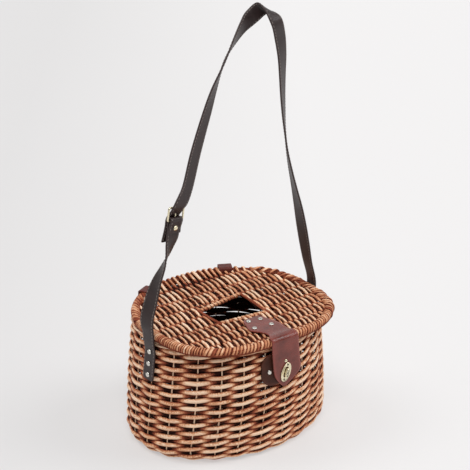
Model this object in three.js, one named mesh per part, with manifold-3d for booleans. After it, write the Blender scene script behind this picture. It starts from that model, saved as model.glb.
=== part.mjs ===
// An oval wicker basket with a hinged lid, a leather latch and a shoulder strap.
// Millimetres, +Z up. The origin is the middle of the underside.
// +X runs along the basket to the right, and the latch faces -Y.
import * as THREE from 'three';
import { mergeVertices } from 'three/addons/utils/BufferGeometryUtils.js';
import Module from 'manifold-3d';

const wasm = await Module();
wasm.setup();

// Fits between the pieces
const SEAT_GAP = 0.3;

// Woven body: half length, half depth and the roundness of its plan
const BODY_HEIGHT = 189;
const FOOT_ROUND = 20;
const BODY_FRONT_POWER = 1.95;
const BODY_BACK_POWER = 2.4;
const BODY_SECTIONS = [
  { z: FOOT_ROUND, halfLength: 165, halfDepth: 124.5 },
  { z: 113, halfLength: 155.5, halfDepth: 135 },
  { z: BODY_HEIGHT, halfLength: 147.5, halfDepth: 131 },
];
const WALL = 11;
const STAKES = 24;
const WEAVE_ROWS = 26;
const WEAVE_RELIEF = 2.4;
const WALL_INSIDE_LEVELS = [140, 90, 45, FOOT_ROUND, 11, 5, 2, 0];
const BASE_THICKNESS = 10;
const BASE_GAP = 0.5;
const BASE_LEVELS = [0, 2, 5, BASE_THICKNESS];
const RIM_HEIGHT = 9.5;
const RIM_PROUD = 1;
const RIM_ROUND = 2.5;
const RIM_INSIDE = 11.5;
const RIM_TOP = BODY_HEIGHT - SEAT_GAP;
const WALL_TOP = RIM_TOP - RIM_HEIGHT - SEAT_GAP;

// Woven lid
const LID_HALF_LENGTH = 150;
const LID_HALF_DEPTH = 138.5;
const LID_FRONT_POWER = 2.8;
const LID_BACK_POWER = 2.15;
const BORDER_WIDTH = 14;
const BORDER_HEIGHT = 12.5;
const BORDER_CHAMFER = 3.6;
const LID_TOP = BODY_HEIGHT + BORDER_HEIGHT;
const PANEL_TOP = LID_TOP - 3;
const PANEL_BOTTOM = BODY_HEIGHT + 2;
const HOLE_CORNERS = [
  { x: 33, y: -45 },
  { x: 38, y: 25 },
  { x: -42, y: 12 },
  { x: -41, y: -36 },
];
const RING_POINTS = 72;
const OUTLINE_STEPS = 1440;

// Leather hinge loops
const HINGE_X = 78;
const HINGE_WIDTH = 22;
const HINGE_LEATHER = 2;
const HINGE_CORNER = 4;
const HINGE_BELOW_RIM = 1;
const HINGE_OUTSIDE_GAP = 0.5;
const HINGE_INSIDE_GAP = 2.2;
const HINGE_SLOT_SPARE = 4;

// Leather latch: the tongue on the lid, the fold and the hanging flap
const LEATHER = 2.5;
const HALF_LEATHER = LEATHER / 2;
const TONGUE_Z = PANEL_TOP + SEAT_GAP + HALF_LEATHER;
const OVER_BORDER_Z = LID_TOP + SEAT_GAP + HALF_LEATHER;
const FLAP_Y = -(LID_HALF_DEPTH + SEAT_GAP + HALF_LEATHER);
const FLAP_LEAN = 0.4;
const FLAP_TIP_Z = 121.5;
const FOLD_RADIUS = 5.5;
const FOLD_EDGES = { left: -23, right: 25 };
const TONGUE_ROWS = [
  { y: -57, z: TONGUE_Z, left: -12, right: 11 },
  { y: -62, z: TONGUE_Z, left: -18, right: 16 },
  { y: -76, z: TONGUE_Z, left: -23, right: 20 },
  { y: -89, z: TONGUE_Z, left: -27, right: 24 },
  { y: -96, z: TONGUE_Z, left: -24, right: 25 },
  { y: -108, z: TONGUE_Z, left: -15, right: 24.5 },
  { y: -119, z: TONGUE_Z + 0.4, left: -14, right: 24 },
  { y: -127, z: OVER_BORDER_Z, left: -19, right: 24.5 },
];
const FLAP_ROWS = [
  { z: 192, left: -23, right: 25.5 },
  { z: 176, left: -22, right: 27 },
  { z: 160, left: -20.5, right: 29 },
  { z: 146, left: -18.5, right: 30.5 },
  { z: 141, left: -17, right: 29 },
  { z: 134, left: -13, right: 21 },
  { z: 127, left: -7.5, right: 11.5 },
  { z: 123, left: -3.5, right: 5.5 },
  { z: FLAP_TIP_Z, left: -1, right: 2.8 },
];
const FOLD_STEPS = 5;

// Leather patch on the wall, with the columns of its rounded outline
const PATCH_LEATHER = 2;
const PATCH_BOTTOM = 126;
const PATCH_TOP = 176;
const PATCH_LEFT = -36;
const PATCH_RIGHT = 30;
const PATCH_CORNER = 18;
const PATCH_COLUMNS = 12;
const PATCH_RIVET = { x: 23, z: 149 };
const PATCH_RIVET_HEAD = { radius: 3.6, height: 1.1 };

// Turn lock
const LOCK = { x: 1.6, z: 145 };
const LOCK_TILT = THREE.MathUtils.degToRad(17);
const LOCK_PLATE = { halfLength: 15.5, halfWidth: 8.6, thickness: 1.6 };
const LOCK_SLOT = { halfLength: 8.6, halfWidth: 3.2 };
const LOCK_BASE = { radius: 8, thickness: 0.8, seat: 0.4 };
const KNOB = { halfLength: 7.2, halfWidth: 2.6, thickness: 3.6 };
const NECK_RADIUS = 2;
const LOCK_BEVEL = 0.5;
const FLAP_STUD = { x: 1.7, z: 163.5, radius: 2.6, height: 1.6 };

// Shoulder strap
const STRAP_WIDTH = 24;
const STRAP_Y = -10;
const STRAP_END_Z = 124.5;
const STRAP_END_ROWS = [STRAP_END_Z, 139, 155, 171];
const STRAP_END_TURN = 5;
const STRAP_WALL_GAP = 0.6;
const STRAP_RIVET_EASE = 0.25;
const STRAP_END_SQUARE = 0.82;
const STRAP_SAMPLES = 4;
// Columns: place of the middle of the strap, and the turn of its width in plan, in degrees
const SHORT_STRAP_ROWS = [
  { x: -152.5, z: 184, turn: 5 },
  { x: -153.5, z: 200, turn: 8 },
  { x: -155.5, z: 214, turn: 16 },
  { x: -154.5, z: 228, turn: 20 },
  { x: -149.5, z: 245, turn: 18 },
  { x: -143.5, z: 263, turn: 10 },
  { x: -135.5, z: 282, turn: -7 },
  { x: -125, z: 300, turn: -27 },
  { x: -117, z: 317, turn: -48 },
  { x: -113, z: 330, turn: -64 },
];
// Near the top the strap folds over away from the front, so those rows also give their depth,
// and where it folds the width rises out of plan
const LONG_STRAP_ROWS = [
  { x: 152.5, z: 186, turn: -6 },
  { x: 152.5, z: 207, turn: -5 },
  { x: 143.5, z: 241, turn: -2 },
  { x: 136.5, z: 275, turn: 3 },
  { x: 130, z: 307, turn: 2 },
  { x: 123, z: 340, turn: -6 },
  { x: 115, z: 372, turn: -17 },
  { x: 107, z: 404, turn: -25 },
  { x: 100.5, z: 435, turn: -33 },
  { x: 96, z: 466, turn: -38 },
  { x: 93, z: 496, turn: -46 },
  { x: 91, z: 525, turn: -52 },
  { x: 90, z: 553, turn: -58 },
  { x: 89, z: 581, turn: -66 },
  { x: 85, z: 610, turn: -75 },
  { x: 78, y: -10, z: 635, turn: -80 },
  { x: 75, y: 3, z: 648, turn: -80, rise: 23 },
  { x: 73, y: 18, z: 649.5, turn: -114, rise: 46 },
  { x: 57, y: 20, z: 640, turn: -113, rise: 46 },
  { x: 40, y: 18.5, z: 628, turn: -75 },
  { x: 23, y: 15.5, z: 611, turn: -57 },
  { x: 7, y: 12.5, z: 592, turn: -42 },
  { x: -6.5, y: 9.5, z: 571.5, turn: -43 },
  { x: -21.5, y: 6.5, z: 545.5, turn: -57 },
  { x: -35, y: 3.5, z: 517.5, turn: -66 },
  { x: -60, y: -2.5, z: 462.5, turn: -73 },
  { x: -80, y: -8, z: 411, turn: -73 },
  { x: -91, y: -13.5, z: 399, turn: -77 },
];

// Buckle: the heel bar holds the short strap's fold, the far bar lies on the long strap
const BUCKLE_HEEL = new THREE.Vector3(-103, STRAP_Y, 369);
const BUCKLE_UP = new THREE.Vector3(0.157, 0, 0.988).normalize();
const BUCKLE_TURN = -80;
const BUCKLE_BAR = 3;
const BUCKLE_INSIDE = { width: 27, length: 17 };
const BUCKLE_CORNER = 4;
const PRONG = { width: 2.6, thickness: 1.8, overhang: 1, holeSpare: 1.6 };
const HEEL_LOOP_RADIUS = 3.7;
// Columns: along the buckle from the heel bar, and outwards from its plane
const SHORT_FOLD_ROWS = [
  { along: -26, out: 1.45 },
  { along: -10, out: 1.55 },
  { along: -4.5, out: 2.9 },
];
const FOLD_TAIL_ROWS = [
  { along: -4.5, out: -2.9 },
  { along: -10, out: -1.6 },
  { along: -15, out: -1.45 },
  { along: -20, out: -1.45 },
];
const HEEL_LOOP_ANGLES = [70, 35, 0, -35, -70];
const LONG_END_ROWS = [
  { along: 20, out: -3.8 },
  { along: 12.5, out: 0 },
  { along: 6.5, out: 4.2 },
  { along: 0, out: 6.8 },
  { along: -10, out: 7 },
  { along: -24, out: 8.6 },
  { along: -36, out: 10.5 },
];
const FOLD_RIVET = { along: -11.5, out: -1.95 };

// Rivets with domed heads
const RIVET = { radius: 4, height: 2 };
const LID_RIVETS = [
  { x: -11.5, y: -66 },
  { x: 8, y: -69.5 },
  { x: 11, y: -93 },
  { x: -17.5, y: -89.5 },
];
const STRAP_RIVET_Z = [132.8, 150.8, 169.8];
const DOME_SIDES = 12;
const DOME_STEPS = 3;

// Finishes
const willow = new THREE.MeshStandardMaterial({ color: 0xb9875a, roughness: 0.6, metalness: 0 });
const cane = new THREE.MeshStandardMaterial({ color: 0xb87a4c, roughness: 0.55, metalness: 0 });
const strapLeather = new THREE.MeshStandardMaterial({ color: 0x3a3230, roughness: 0.55, metalness: 0 });
const latchLeather = new THREE.MeshStandardMaterial({ color: 0x5b3330, roughness: 0.5, metalness: 0 });
const patchLeather = new THREE.MeshStandardMaterial({ color: 0x3b2421, roughness: 0.55, metalness: 0 });
const brass = new THREE.MeshStandardMaterial({ color: 0xd8cda4, roughness: 0.3, metalness: 1 });
const nickel = new THREE.MeshStandardMaterial({ color: 0xc9c7c2, roughness: 0.25, metalness: 1 });

const part = new THREE.Group();

// A closed surface of shared vertices becomes a mesh with its faces pointing out
function addSolid(name, points, triangles, material, parent = part) {
  let volume = 0;
  for (const [a, b, c] of triangles) {
    volume += points[a].dot(points[b].clone().cross(points[c]));
  }
  const geometry = new THREE.BufferGeometry();
  const order = triangles.map(([a, b, c]) => (volume < 0 ? [a, c, b] : [a, b, c]));
  geometry.setAttribute('position', new THREE.Float32BufferAttribute(points.flatMap((p) => p.toArray()), 3));
  geometry.setIndex(order.flat());
  return addMesh(name, geometry, material, parent);
}

function addMesh(name, geometry, material, parent = part) {
  geometry.computeVertexNormals();
  const mesh = new THREE.Mesh(geometry, material.clone());
  mesh.name = name;
  parent.add(mesh);
  return mesh;
}

// Joins rings of equal length into a skin; a closed section runs back to the first ring
function skin(rings, closedSection, closedRing = true) {
  const count = rings[0].length;
  const points = rings.flat();
  const triangles = [];
  const last = closedSection ? rings.length : rings.length - 1;
  const columns = closedRing ? count : count - 1;
  for (let i = 0; i < last; i += 1) {
    const low = i * count;
    const high = ((i + 1) % rings.length) * count;
    for (let j = 0; j < columns; j += 1) {
      const next = (j + 1) % count;
      triangles.push([low + j, low + next, high + next], [low + j, high + next, high + j]);
    }
  }
  return { points, triangles };
}

// Closes the first and last ring of an open stack with a fan about the ring's middle
function capEnds({ points, triangles }, rings) {
  const count = rings[0].length;
  const ends = [
    { start: 0, flip: true },
    { start: (rings.length - 1) * count, flip: false },
  ];
  for (const { start, flip } of ends) {
    const middle = new THREE.Vector3();
    for (let j = 0; j < count; j += 1) {
      middle.addScaledVector(points[start + j], 1 / count);
    }
    const hub = points.push(middle) - 1;
    for (let j = 0; j < count; j += 1) {
      const a = start + j;
      const b = start + ((j + 1) % count);
      triangles.push(flip ? [hub, b, a] : [hub, a, b]);
    }
  }
  return { points, triangles };
}

function addRing(name, rings, material) {
  const { points, triangles } = skin(rings, true);
  return addSolid(name, points, triangles, material);
}

function addStack(name, rings, material) {
  const { points, triangles } = capEnds(skin(rings, false), rings);
  return addSolid(name, points, triangles, material);
}

// Solid for cutting, from a geometry that is closed
function toManifold(geometry) {
  const bare = geometry.clone();
  bare.deleteAttribute('normal');
  bare.deleteAttribute('uv');
  const merged = mergeVertices(bare, 1e-4);
  return new wasm.Manifold(new wasm.Mesh({
    numProp: 3,
    vertProperties: new Float32Array(merged.attributes.position.array),
    triVerts: new Uint32Array(merged.index.array),
  }));
}

function fromManifold(solid) {
  const mesh = solid.getMesh();
  const geometry = new THREE.BufferGeometry();
  geometry.setAttribute('position', new THREE.Float32BufferAttribute(Array.from(mesh.vertProperties), 3));
  geometry.setIndex(Array.from(mesh.triVerts));
  return geometry;
}

function cutMesh(mesh, cutters) {
  let solid = toManifold(mesh.geometry);
  for (const cutter of cutters) {
    solid = solid.subtract(toManifold(cutter));
  }
  mesh.geometry = fromManifold(solid);
  mesh.geometry.computeVertexNormals();
}

// Oval plan whose front and back halves have their own squareness
function planPoint(plan, angle) {
  const c = Math.cos(angle);
  const s = Math.sin(angle);
  const power = s < 0 ? plan.front : plan.back;
  return new THREE.Vector2(
    plan.halfLength * Math.sign(c) * Math.abs(c) ** (2 / power),
    plan.halfDepth * Math.sign(s) * Math.abs(s) ** (2 / power),
  );
}

// Points spread evenly round the plan, from the middle of the front and on to the right
function planRing(plan, count, z) {
  const outline = [];
  const reach = [0];
  for (let i = 0; i <= OUTLINE_STEPS; i += 1) {
    outline.push(planPoint(plan, -Math.PI / 2 + (2 * Math.PI * i) / OUTLINE_STEPS));
    if (i > 0) {
      reach.push(reach[i - 1] + outline[i].distanceTo(outline[i - 1]));
    }
  }
  const ring = [];
  let k = 0;
  for (let j = 0; j < count; j += 1) {
    const target = (reach[OUTLINE_STEPS] * j) / count;
    while (reach[k + 1] < target) {
      k += 1;
    }
    const share = (target - reach[k]) / (reach[k + 1] - reach[k]);
    const point = outline[k].clone().lerp(outline[k + 1], share);
    ring.push(new THREE.Vector3(point.x, point.y, z));
  }
  return ring;
}

// Smooth curve through the three body sections
function throughSections(z, key) {
  let value = 0;
  for (const section of BODY_SECTIONS) {
    let weight = 1;
    for (const other of BODY_SECTIONS) {
      if (other !== section) {
        weight *= (z - other.z) / (section.z - other.z);
      }
    }
    value += weight * section[key];
  }
  return value;
}

function bodyPlan(z, inset) {
  const level = Math.max(z, FOOT_ROUND);
  const drop = Math.max(FOOT_ROUND - z, 0);
  const rounding = FOOT_ROUND - Math.sqrt(FOOT_ROUND ** 2 - drop ** 2);
  return {
    halfLength: throughSections(level, 'halfLength') - rounding - inset,
    halfDepth: throughSections(level, 'halfDepth') - rounding - inset,
    front: BODY_FRONT_POWER,
    back: BODY_BACK_POWER,
  };
}

function lidPlan(inset) {
  return {
    halfLength: LID_HALF_LENGTH - inset,
    halfDepth: LID_HALF_DEPTH - inset,
    front: LID_FRONT_POWER,
    back: LID_BACK_POWER,
  };
}

// Depth of the body's front face, and length of its end face, at a place on it
function wallFront(x, z) {
  const plan = bodyPlan(z, 0);
  const share = 1 - (Math.abs(x) / plan.halfLength) ** plan.front;
  return plan.halfDepth * share ** (1 / plan.front);
}

function wallEnd(y, z) {
  const plan = bodyPlan(z, 0);
  const share = 1 - (Math.abs(y) / plan.halfDepth) ** plan.front;
  return plan.halfLength * share ** (1 / plan.front);
}

// Woven body: each row passes in front of every other stake and behind the ones between
function addBody() {
  const columns = STAKES * 2;
  const rings = [planRing(bodyPlan(0, 0), columns, 0)];
  const pitch = WALL_TOP / WEAVE_ROWS;
  for (let row = 0; row < WEAVE_ROWS; row += 1) {
    const z = pitch * (row + 0.5);
    const proud = planRing(bodyPlan(z, 0), columns, z);
    const level = planRing(bodyPlan(z, WEAVE_RELIEF / 2), columns, z);
    const sunk = planRing(bodyPlan(z, WEAVE_RELIEF), columns, z);
    rings.push(proud.map((point, j) => {
      if (j % 2 === 1) {
        return level[j];
      }
      return (j / 2 + row) % 2 === 0 ? point : sunk[j];
    }));
  }
  rings.push(planRing(bodyPlan(WALL_TOP, WEAVE_RELIEF / 2), columns, WALL_TOP));
  for (const z of [WALL_TOP, ...WALL_INSIDE_LEVELS]) {
    rings.push(planRing(bodyPlan(z, WALL), columns, z));
  }
  const wall = addRing('body_wall', rings, willow);

  const baseRings = BASE_LEVELS.map((z) => planRing(bodyPlan(z, WALL + BASE_GAP), columns, z));
  addStack('base', baseRings, willow);

  const rimBottom = RIM_TOP - RIM_HEIGHT;
  const rimSection = [
    { inset: RIM_ROUND / 2 - RIM_PROUD, z: rimBottom },
    { inset: -RIM_PROUD, z: rimBottom + RIM_ROUND },
    { inset: -RIM_PROUD, z: RIM_TOP - RIM_ROUND },
    { inset: RIM_ROUND - RIM_PROUD, z: RIM_TOP },
    { inset: RIM_INSIDE - RIM_ROUND / 2, z: RIM_TOP },
    { inset: RIM_INSIDE, z: RIM_TOP - RIM_ROUND },
    { inset: RIM_INSIDE, z: rimBottom + RIM_ROUND },
    { inset: RIM_INSIDE - RIM_ROUND / 2, z: rimBottom },
  ];
  addRing('rim', rimSection.map(({ inset, z }) => planRing(bodyPlan(z, inset), RING_POINTS, z)), willow);
  return wall;
}

// Where a ray from the middle at this heading meets the four-sided opening
function holePoint(heading) {
  const ray = new THREE.Vector2(Math.cos(heading), Math.sin(heading));
  for (let i = 0; i < HOLE_CORNERS.length; i += 1) {
    const from = HOLE_CORNERS[i];
    const to = HOLE_CORNERS[(i + 1) % HOLE_CORNERS.length];
    const side = new THREE.Vector2(to.x - from.x, to.y - from.y);
    const cross = ray.x * side.y - ray.y * side.x;
    const reach = (from.x * side.y - from.y * side.x) / cross;
    const share = (from.x * ray.y - from.y * ray.x) / cross;
    if (reach > 0 && share >= 0 && share < 1) {
      return ray.multiplyScalar(reach);
    }
  }
  return ray;
}

function addLid() {
  const section = [
    { inset: 0, z: BODY_HEIGHT + BORDER_CHAMFER },
    { inset: 0, z: LID_TOP - BORDER_CHAMFER },
    { inset: BORDER_CHAMFER, z: LID_TOP },
    { inset: BORDER_WIDTH - BORDER_CHAMFER, z: LID_TOP },
    { inset: BORDER_WIDTH, z: LID_TOP - BORDER_CHAMFER },
    { inset: BORDER_WIDTH, z: BODY_HEIGHT + BORDER_CHAMFER },
    { inset: BORDER_WIDTH - BORDER_CHAMFER, z: BODY_HEIGHT },
    { inset: BORDER_CHAMFER, z: BODY_HEIGHT },
  ];
  addRing('lid_border', section.map(({ inset, z }) => planRing(lidPlan(inset), RING_POINTS, z)), cane);

  const edge = planRing(lidPlan(BORDER_WIDTH + SEAT_GAP), RING_POINTS, 0);
  const hole = edge.map((point) => holePoint(Math.atan2(point.y, point.x)));
  for (const corner of HOLE_CORNERS) {
    const at = new THREE.Vector2(corner.x, corner.y);
    let nearest = 0;
    hole.forEach((point, j) => {
      nearest = point.distanceTo(at) < hole[nearest].distanceTo(at) ? j : nearest;
    });
    hole[nearest] = at;
  }
  const level = (points, z) => points.map((point) => new THREE.Vector3(point.x, point.y, z));
  const rings = [
    level(edge, PANEL_BOTTOM),
    level(edge, PANEL_TOP),
    level(hole, PANEL_TOP),
    level(hole, PANEL_BOTTOM),
  ];
  return addRing('lid_panel', rings, willow);
}

// Plate of even thickness, with sharp or with bevelled edges
function extrude(shape, depth, curveSegments) {
  return new THREE.ExtrudeGeometry(shape, { depth, bevelEnabled: false, curveSegments });
}

function bevelled(shape, thickness, curveSegments) {
  return new THREE.ExtrudeGeometry(shape, {
    depth: thickness - 2 * LOCK_BEVEL,
    bevelThickness: LOCK_BEVEL,
    bevelSize: LOCK_BEVEL,
    bevelOffset: -LOCK_BEVEL,
    bevelSegments: 1,
    curveSegments,
  });
}

// Outline of a rectangle with round corners, as a shape or as a hole
function roundedOutline(path, halfWidth, low, high, corner) {
  path.moveTo(-halfWidth + corner, low);
  path.lineTo(halfWidth - corner, low);
  path.absarc(halfWidth - corner, low + corner, corner, -Math.PI / 2, 0, false);
  path.absarc(halfWidth - corner, high - corner, corner, 0, Math.PI / 2, false);
  path.absarc(-halfWidth + corner, high - corner, corner, Math.PI / 2, Math.PI, false);
  path.absarc(-halfWidth + corner, low + corner, corner, Math.PI, 1.5 * Math.PI, false);
  path.closePath();
  return path;
}

function addHinges(wall, panel) {
  const loopLow = RIM_TOP - RIM_HEIGHT - HINGE_BELOW_RIM - HINGE_LEATHER;
  const loopHigh = LID_TOP + SEAT_GAP + HINGE_LEATHER;
  const outer = HINGE_OUTSIDE_GAP + HINGE_LEATHER;
  const inner = BORDER_WIDTH + HINGE_INSIDE_GAP + HINGE_LEATHER;
  const halfDepth = (outer + inner) / 2;
  const cutters = { wall: [], panel: [] };
  for (const { name, x } of [{ name: 'hinge_left', x: -HINGE_X }, { name: 'hinge_right', x: HINGE_X }]) {
    const plan = lidPlan(0);
    const share = 1 - (HINGE_X / plan.halfLength) ** plan.back;
    const y = plan.halfDepth * share ** (1 / plan.back);
    const normal = new THREE.Vector2(
      Math.sign(x) * (HINGE_X / plan.halfLength) ** (plan.back - 1) / plan.halfLength,
      (y / plan.halfDepth) ** (plan.back - 1) / plan.halfDepth,
    ).normalize();
    const shape = roundedOutline(new THREE.Shape(), halfDepth, loopLow, loopHigh, HINGE_CORNER);
    shape.holes.push(roundedOutline(new THREE.Path(), halfDepth - HINGE_LEATHER, loopLow + HINGE_LEATHER,
      loopHigh - HINGE_LEATHER, HINGE_CORNER - HINGE_LEATHER));
    const loop = extrude(shape, HINGE_WIDTH, 3);
    const seat = new THREE.Matrix4().makeBasis(
      new THREE.Vector3(normal.x, normal.y, 0),
      new THREE.Vector3(0, 0, 1),
      new THREE.Vector3(normal.y, -normal.x, 0),
    );
    const middle = new THREE.Vector2(x, y).addScaledVector(normal, (outer - inner) / 2);
    seat.setPosition(middle.x, middle.y, 0);
    loop.translate(0, 0, -HINGE_WIDTH / 2);
    addMesh(name, loop.applyMatrix4(seat), latchLeather);

    const clear = HINGE_WIDTH + 2 * SEAT_GAP;
    const slotDepth = HINGE_LEATHER + 2 * SEAT_GAP + HINGE_SLOT_SPARE;
    const slot = new THREE.BoxGeometry(slotDepth, BORDER_HEIGHT * 2, clear);
    slot.translate((HINGE_LEATHER + HINGE_SLOT_SPARE) / 2 - halfDepth, LID_TOP, 0);
    cutters.panel.push(slot.applyMatrix4(seat));
    const notch = new THREE.BoxGeometry(2 * (halfDepth + HINGE_SLOT_SPARE), RIM_HEIGHT, clear);
    notch.translate(0, loopLow - SEAT_GAP + RIM_HEIGHT / 2, 0);
    cutters.wall.push(notch.applyMatrix4(seat));
  }
  cutMesh(wall, cutters.wall);
  cutMesh(panel, cutters.panel);
}

// Sheet of leather: each row is a place on its middle and its two side edges
function sheetRings(rows, thickness) {
  return rows.map((row, i) => {
    const before = rows[Math.max(i - 1, 0)];
    const after = rows[Math.min(i + 1, rows.length - 1)];
    const run = new THREE.Vector2(after.y - before.y, after.z - before.z).normalize();
    const out = new THREE.Vector2(-run.y, run.x).multiplyScalar(thickness / 2);
    return [
      new THREE.Vector3(row.left, row.y + out.x, row.z + out.y),
      new THREE.Vector3(row.right, row.y + out.x, row.z + out.y),
      new THREE.Vector3(row.right, row.y - out.x, row.z - out.y),
      new THREE.Vector3(row.left, row.y - out.x, row.z - out.y),
    ];
  });
}

// The flap leans in a little towards the wall below its fold
function flapY(z) {
  const share = (OVER_BORDER_Z - FOLD_RADIUS - z) / (OVER_BORDER_Z - FOLD_RADIUS - FLAP_TIP_Z);
  return FLAP_Y + FLAP_LEAN * share;
}

function turnedOval(path, { halfLength, halfWidth }) {
  return path.absellipse(0, 0, halfWidth, halfLength, 0, 2 * Math.PI, false, 0);
}

function ovalSlot(path, { halfLength, halfWidth }) {
  const run = halfLength - halfWidth;
  path.moveTo(halfWidth, -run);
  path.lineTo(halfWidth, run);
  path.absarc(0, run, halfWidth, 0, Math.PI, false);
  path.lineTo(-halfWidth, -run);
  path.absarc(0, -run, halfWidth, Math.PI, 2 * Math.PI, false);
  return path;
}

// Stands a shape drawn flat on the front of the flap, its face towards -Y
function faceFront(geometry, y) {
  geometry.rotateZ(-LOCK_TILT);
  geometry.rotateX(Math.PI / 2);
  geometry.translate(LOCK.x, y, LOCK.z);
  return geometry;
}

function addLatch() {
  const rows = [...TONGUE_ROWS];
  const foldMiddle = { y: FLAP_Y + FOLD_RADIUS, z: OVER_BORDER_Z - FOLD_RADIUS };
  for (let i = 0; i <= FOLD_STEPS; i += 1) {
    const angle = (Math.PI / 2) * (i / FOLD_STEPS);
    rows.push({
      y: foldMiddle.y - FOLD_RADIUS * Math.sin(angle),
      z: foldMiddle.z + FOLD_RADIUS * Math.cos(angle),
      ...FOLD_EDGES,
    });
  }
  for (const row of FLAP_ROWS) {
    rows.push({ ...row, y: flapY(row.z) });
  }
  const flap = addStack('latch_flap', sheetRings(rows, LEATHER), latchLeather);
  const slot = extrude(ovalSlot(new THREE.Shape(), LOCK_SLOT), 4 * LEATHER, 4);
  slot.translate(0, 0, -2 * LEATHER);
  cutMesh(flap, [faceFront(slot, flapY(LOCK.z))]);

  const patchMiddle = (PATCH_LEFT + PATCH_RIGHT) / 2;
  const patchHalf = (PATCH_RIGHT - PATCH_LEFT) / 2;
  const columns = [];
  for (let i = 0; i <= PATCH_COLUMNS; i += 1) {
    const x = patchMiddle - patchHalf * Math.cos((Math.PI * i) / PATCH_COLUMNS);
    const into = Math.max(Math.abs(x - patchMiddle) - (patchHalf - PATCH_CORNER), 0);
    const drop = PATCH_CORNER - Math.sqrt(Math.max(PATCH_CORNER ** 2 - into ** 2, 0));
    const low = PATCH_BOTTOM + drop;
    const high = PATCH_TOP - drop;
    const place = (z, out) => new THREE.Vector3(x, -(wallFront(x, z) + SEAT_GAP + out), z);
    const levels = [low, (2 * low + high) / 3, (low + 2 * high) / 3, high];
    const inside = levels.map((z) => place(z, 0));
    const outside = levels.map((z) => place(z, PATCH_LEATHER)).reverse();
    columns.push([...inside, ...outside]);
  }
  addStack('latch_patch', columns, patchLeather);
}

function addLock() {
  const patchFace = -(wallFront(LOCK.x, LOCK.z) + SEAT_GAP + PATCH_LEATHER);
  const baseFace = patchFace - LOCK_BASE.seat - LOCK_BASE.thickness;
  const base = new THREE.CylinderGeometry(LOCK_BASE.radius, LOCK_BASE.radius, LOCK_BASE.thickness, 20);
  base.translate(LOCK.x, baseFace + LOCK_BASE.thickness / 2, LOCK.z);
  addMesh('lock_base', base, brass);

  const flapFace = flapY(LOCK.z) - HALF_LEATHER;
  const shape = turnedOval(new THREE.Shape(), LOCK_PLATE);
  shape.holes.push(ovalSlot(new THREE.Path(), LOCK_SLOT));
  const plate = bevelled(shape, LOCK_PLATE.thickness, 10);
  plate.translate(0, 0, SEAT_GAP + LOCK_BEVEL);
  addMesh('lock_plate', faceFront(plate, flapFace), brass);

  const knobBack = flapFace - SEAT_GAP - LOCK_PLATE.thickness - SEAT_GAP;
  const bar = bevelled(ovalSlot(new THREE.Shape(), KNOB), KNOB.thickness, 5);
  bar.translate(0, 0, LOCK_BEVEL);
  const neckStart = baseFace - SEAT_GAP;
  const neckLength = neckStart - knobBack + KNOB.thickness / 2;
  const neck = new THREE.CylinderGeometry(NECK_RADIUS, NECK_RADIUS, neckLength, 14);
  neck.translate(LOCK.x, neckStart - neckLength / 2, LOCK.z);
  const knob = toManifold(faceFront(bar, knobBack)).add(toManifold(neck));
  addMesh('lock_knob', fromManifold(knob), brass);
}

// Domed head on a round foot, standing along an axis from its seat
function addDome(name, seat, axis, { radius, height }, material) {
  const profile = [new THREE.Vector2(0, 0), new THREE.Vector2(radius, 0)];
  for (let i = 1; i < DOME_STEPS; i += 1) {
    const angle = (Math.PI / 2) * (i / DOME_STEPS);
    profile.push(new THREE.Vector2(radius * Math.cos(angle), height * Math.sin(angle)));
  }
  profile.push(new THREE.Vector2(0, height));
  const dome = new THREE.LatheGeometry(profile, DOME_SIDES);
  const mesh = addMesh(name, mergeVertices(closedLathe(dome), 1e-4), material);
  mesh.quaternion.setFromUnitVectors(new THREE.Vector3(0, 1, 0), axis.clone().normalize());
  mesh.position.copy(seat).addScaledVector(axis.clone().normalize(), SEAT_GAP);
  return mesh;
}

// Drops the seam of a turned surface, so that only its places are compared
function closedLathe(geometry) {
  geometry.deleteAttribute('normal');
  geometry.deleteAttribute('uv');
  return geometry;
}

// Width direction of a strap: its turn in plan, and its rise out of plan
function strapWidth(turn, rise = 0) {
  const heading = THREE.MathUtils.degToRad(turn);
  const climb = THREE.MathUtils.degToRad(rise);
  const level = Math.cos(climb);
  return new THREE.Vector3(level * Math.sin(heading), -level * Math.cos(heading), Math.sin(climb));
}

function strapStation({ x, y = STRAP_Y, z, turn, rise }) {
  return { at: new THREE.Vector3(x, y, z), width: strapWidth(turn, rise), folded: rise !== undefined };
}

// The riveted end lies on the end of the body
function strapEndStations(side) {
  return STRAP_END_ROWS.map((z) => strapStation({
    x: side * (wallEnd(STRAP_Y, z) + STRAP_WALL_GAP + HALF_LEATHER),
    z,
    turn: -side * STRAP_END_TURN,
  }));
}

const buckleWidth = strapWidth(BUCKLE_TURN);
buckleWidth.addScaledVector(BUCKLE_UP, -buckleWidth.dot(BUCKLE_UP)).normalize();
const buckleOut = buckleWidth.clone().cross(BUCKLE_UP).normalize();

function bucklePlace(along, out) {
  return BUCKLE_HEEL.clone().addScaledVector(BUCKLE_UP, along).addScaledVector(buckleOut, out);
}

function buckleStation({ along, out }) {
  return { at: bucklePlace(along, out), width: buckleWidth.clone() };
}

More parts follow.
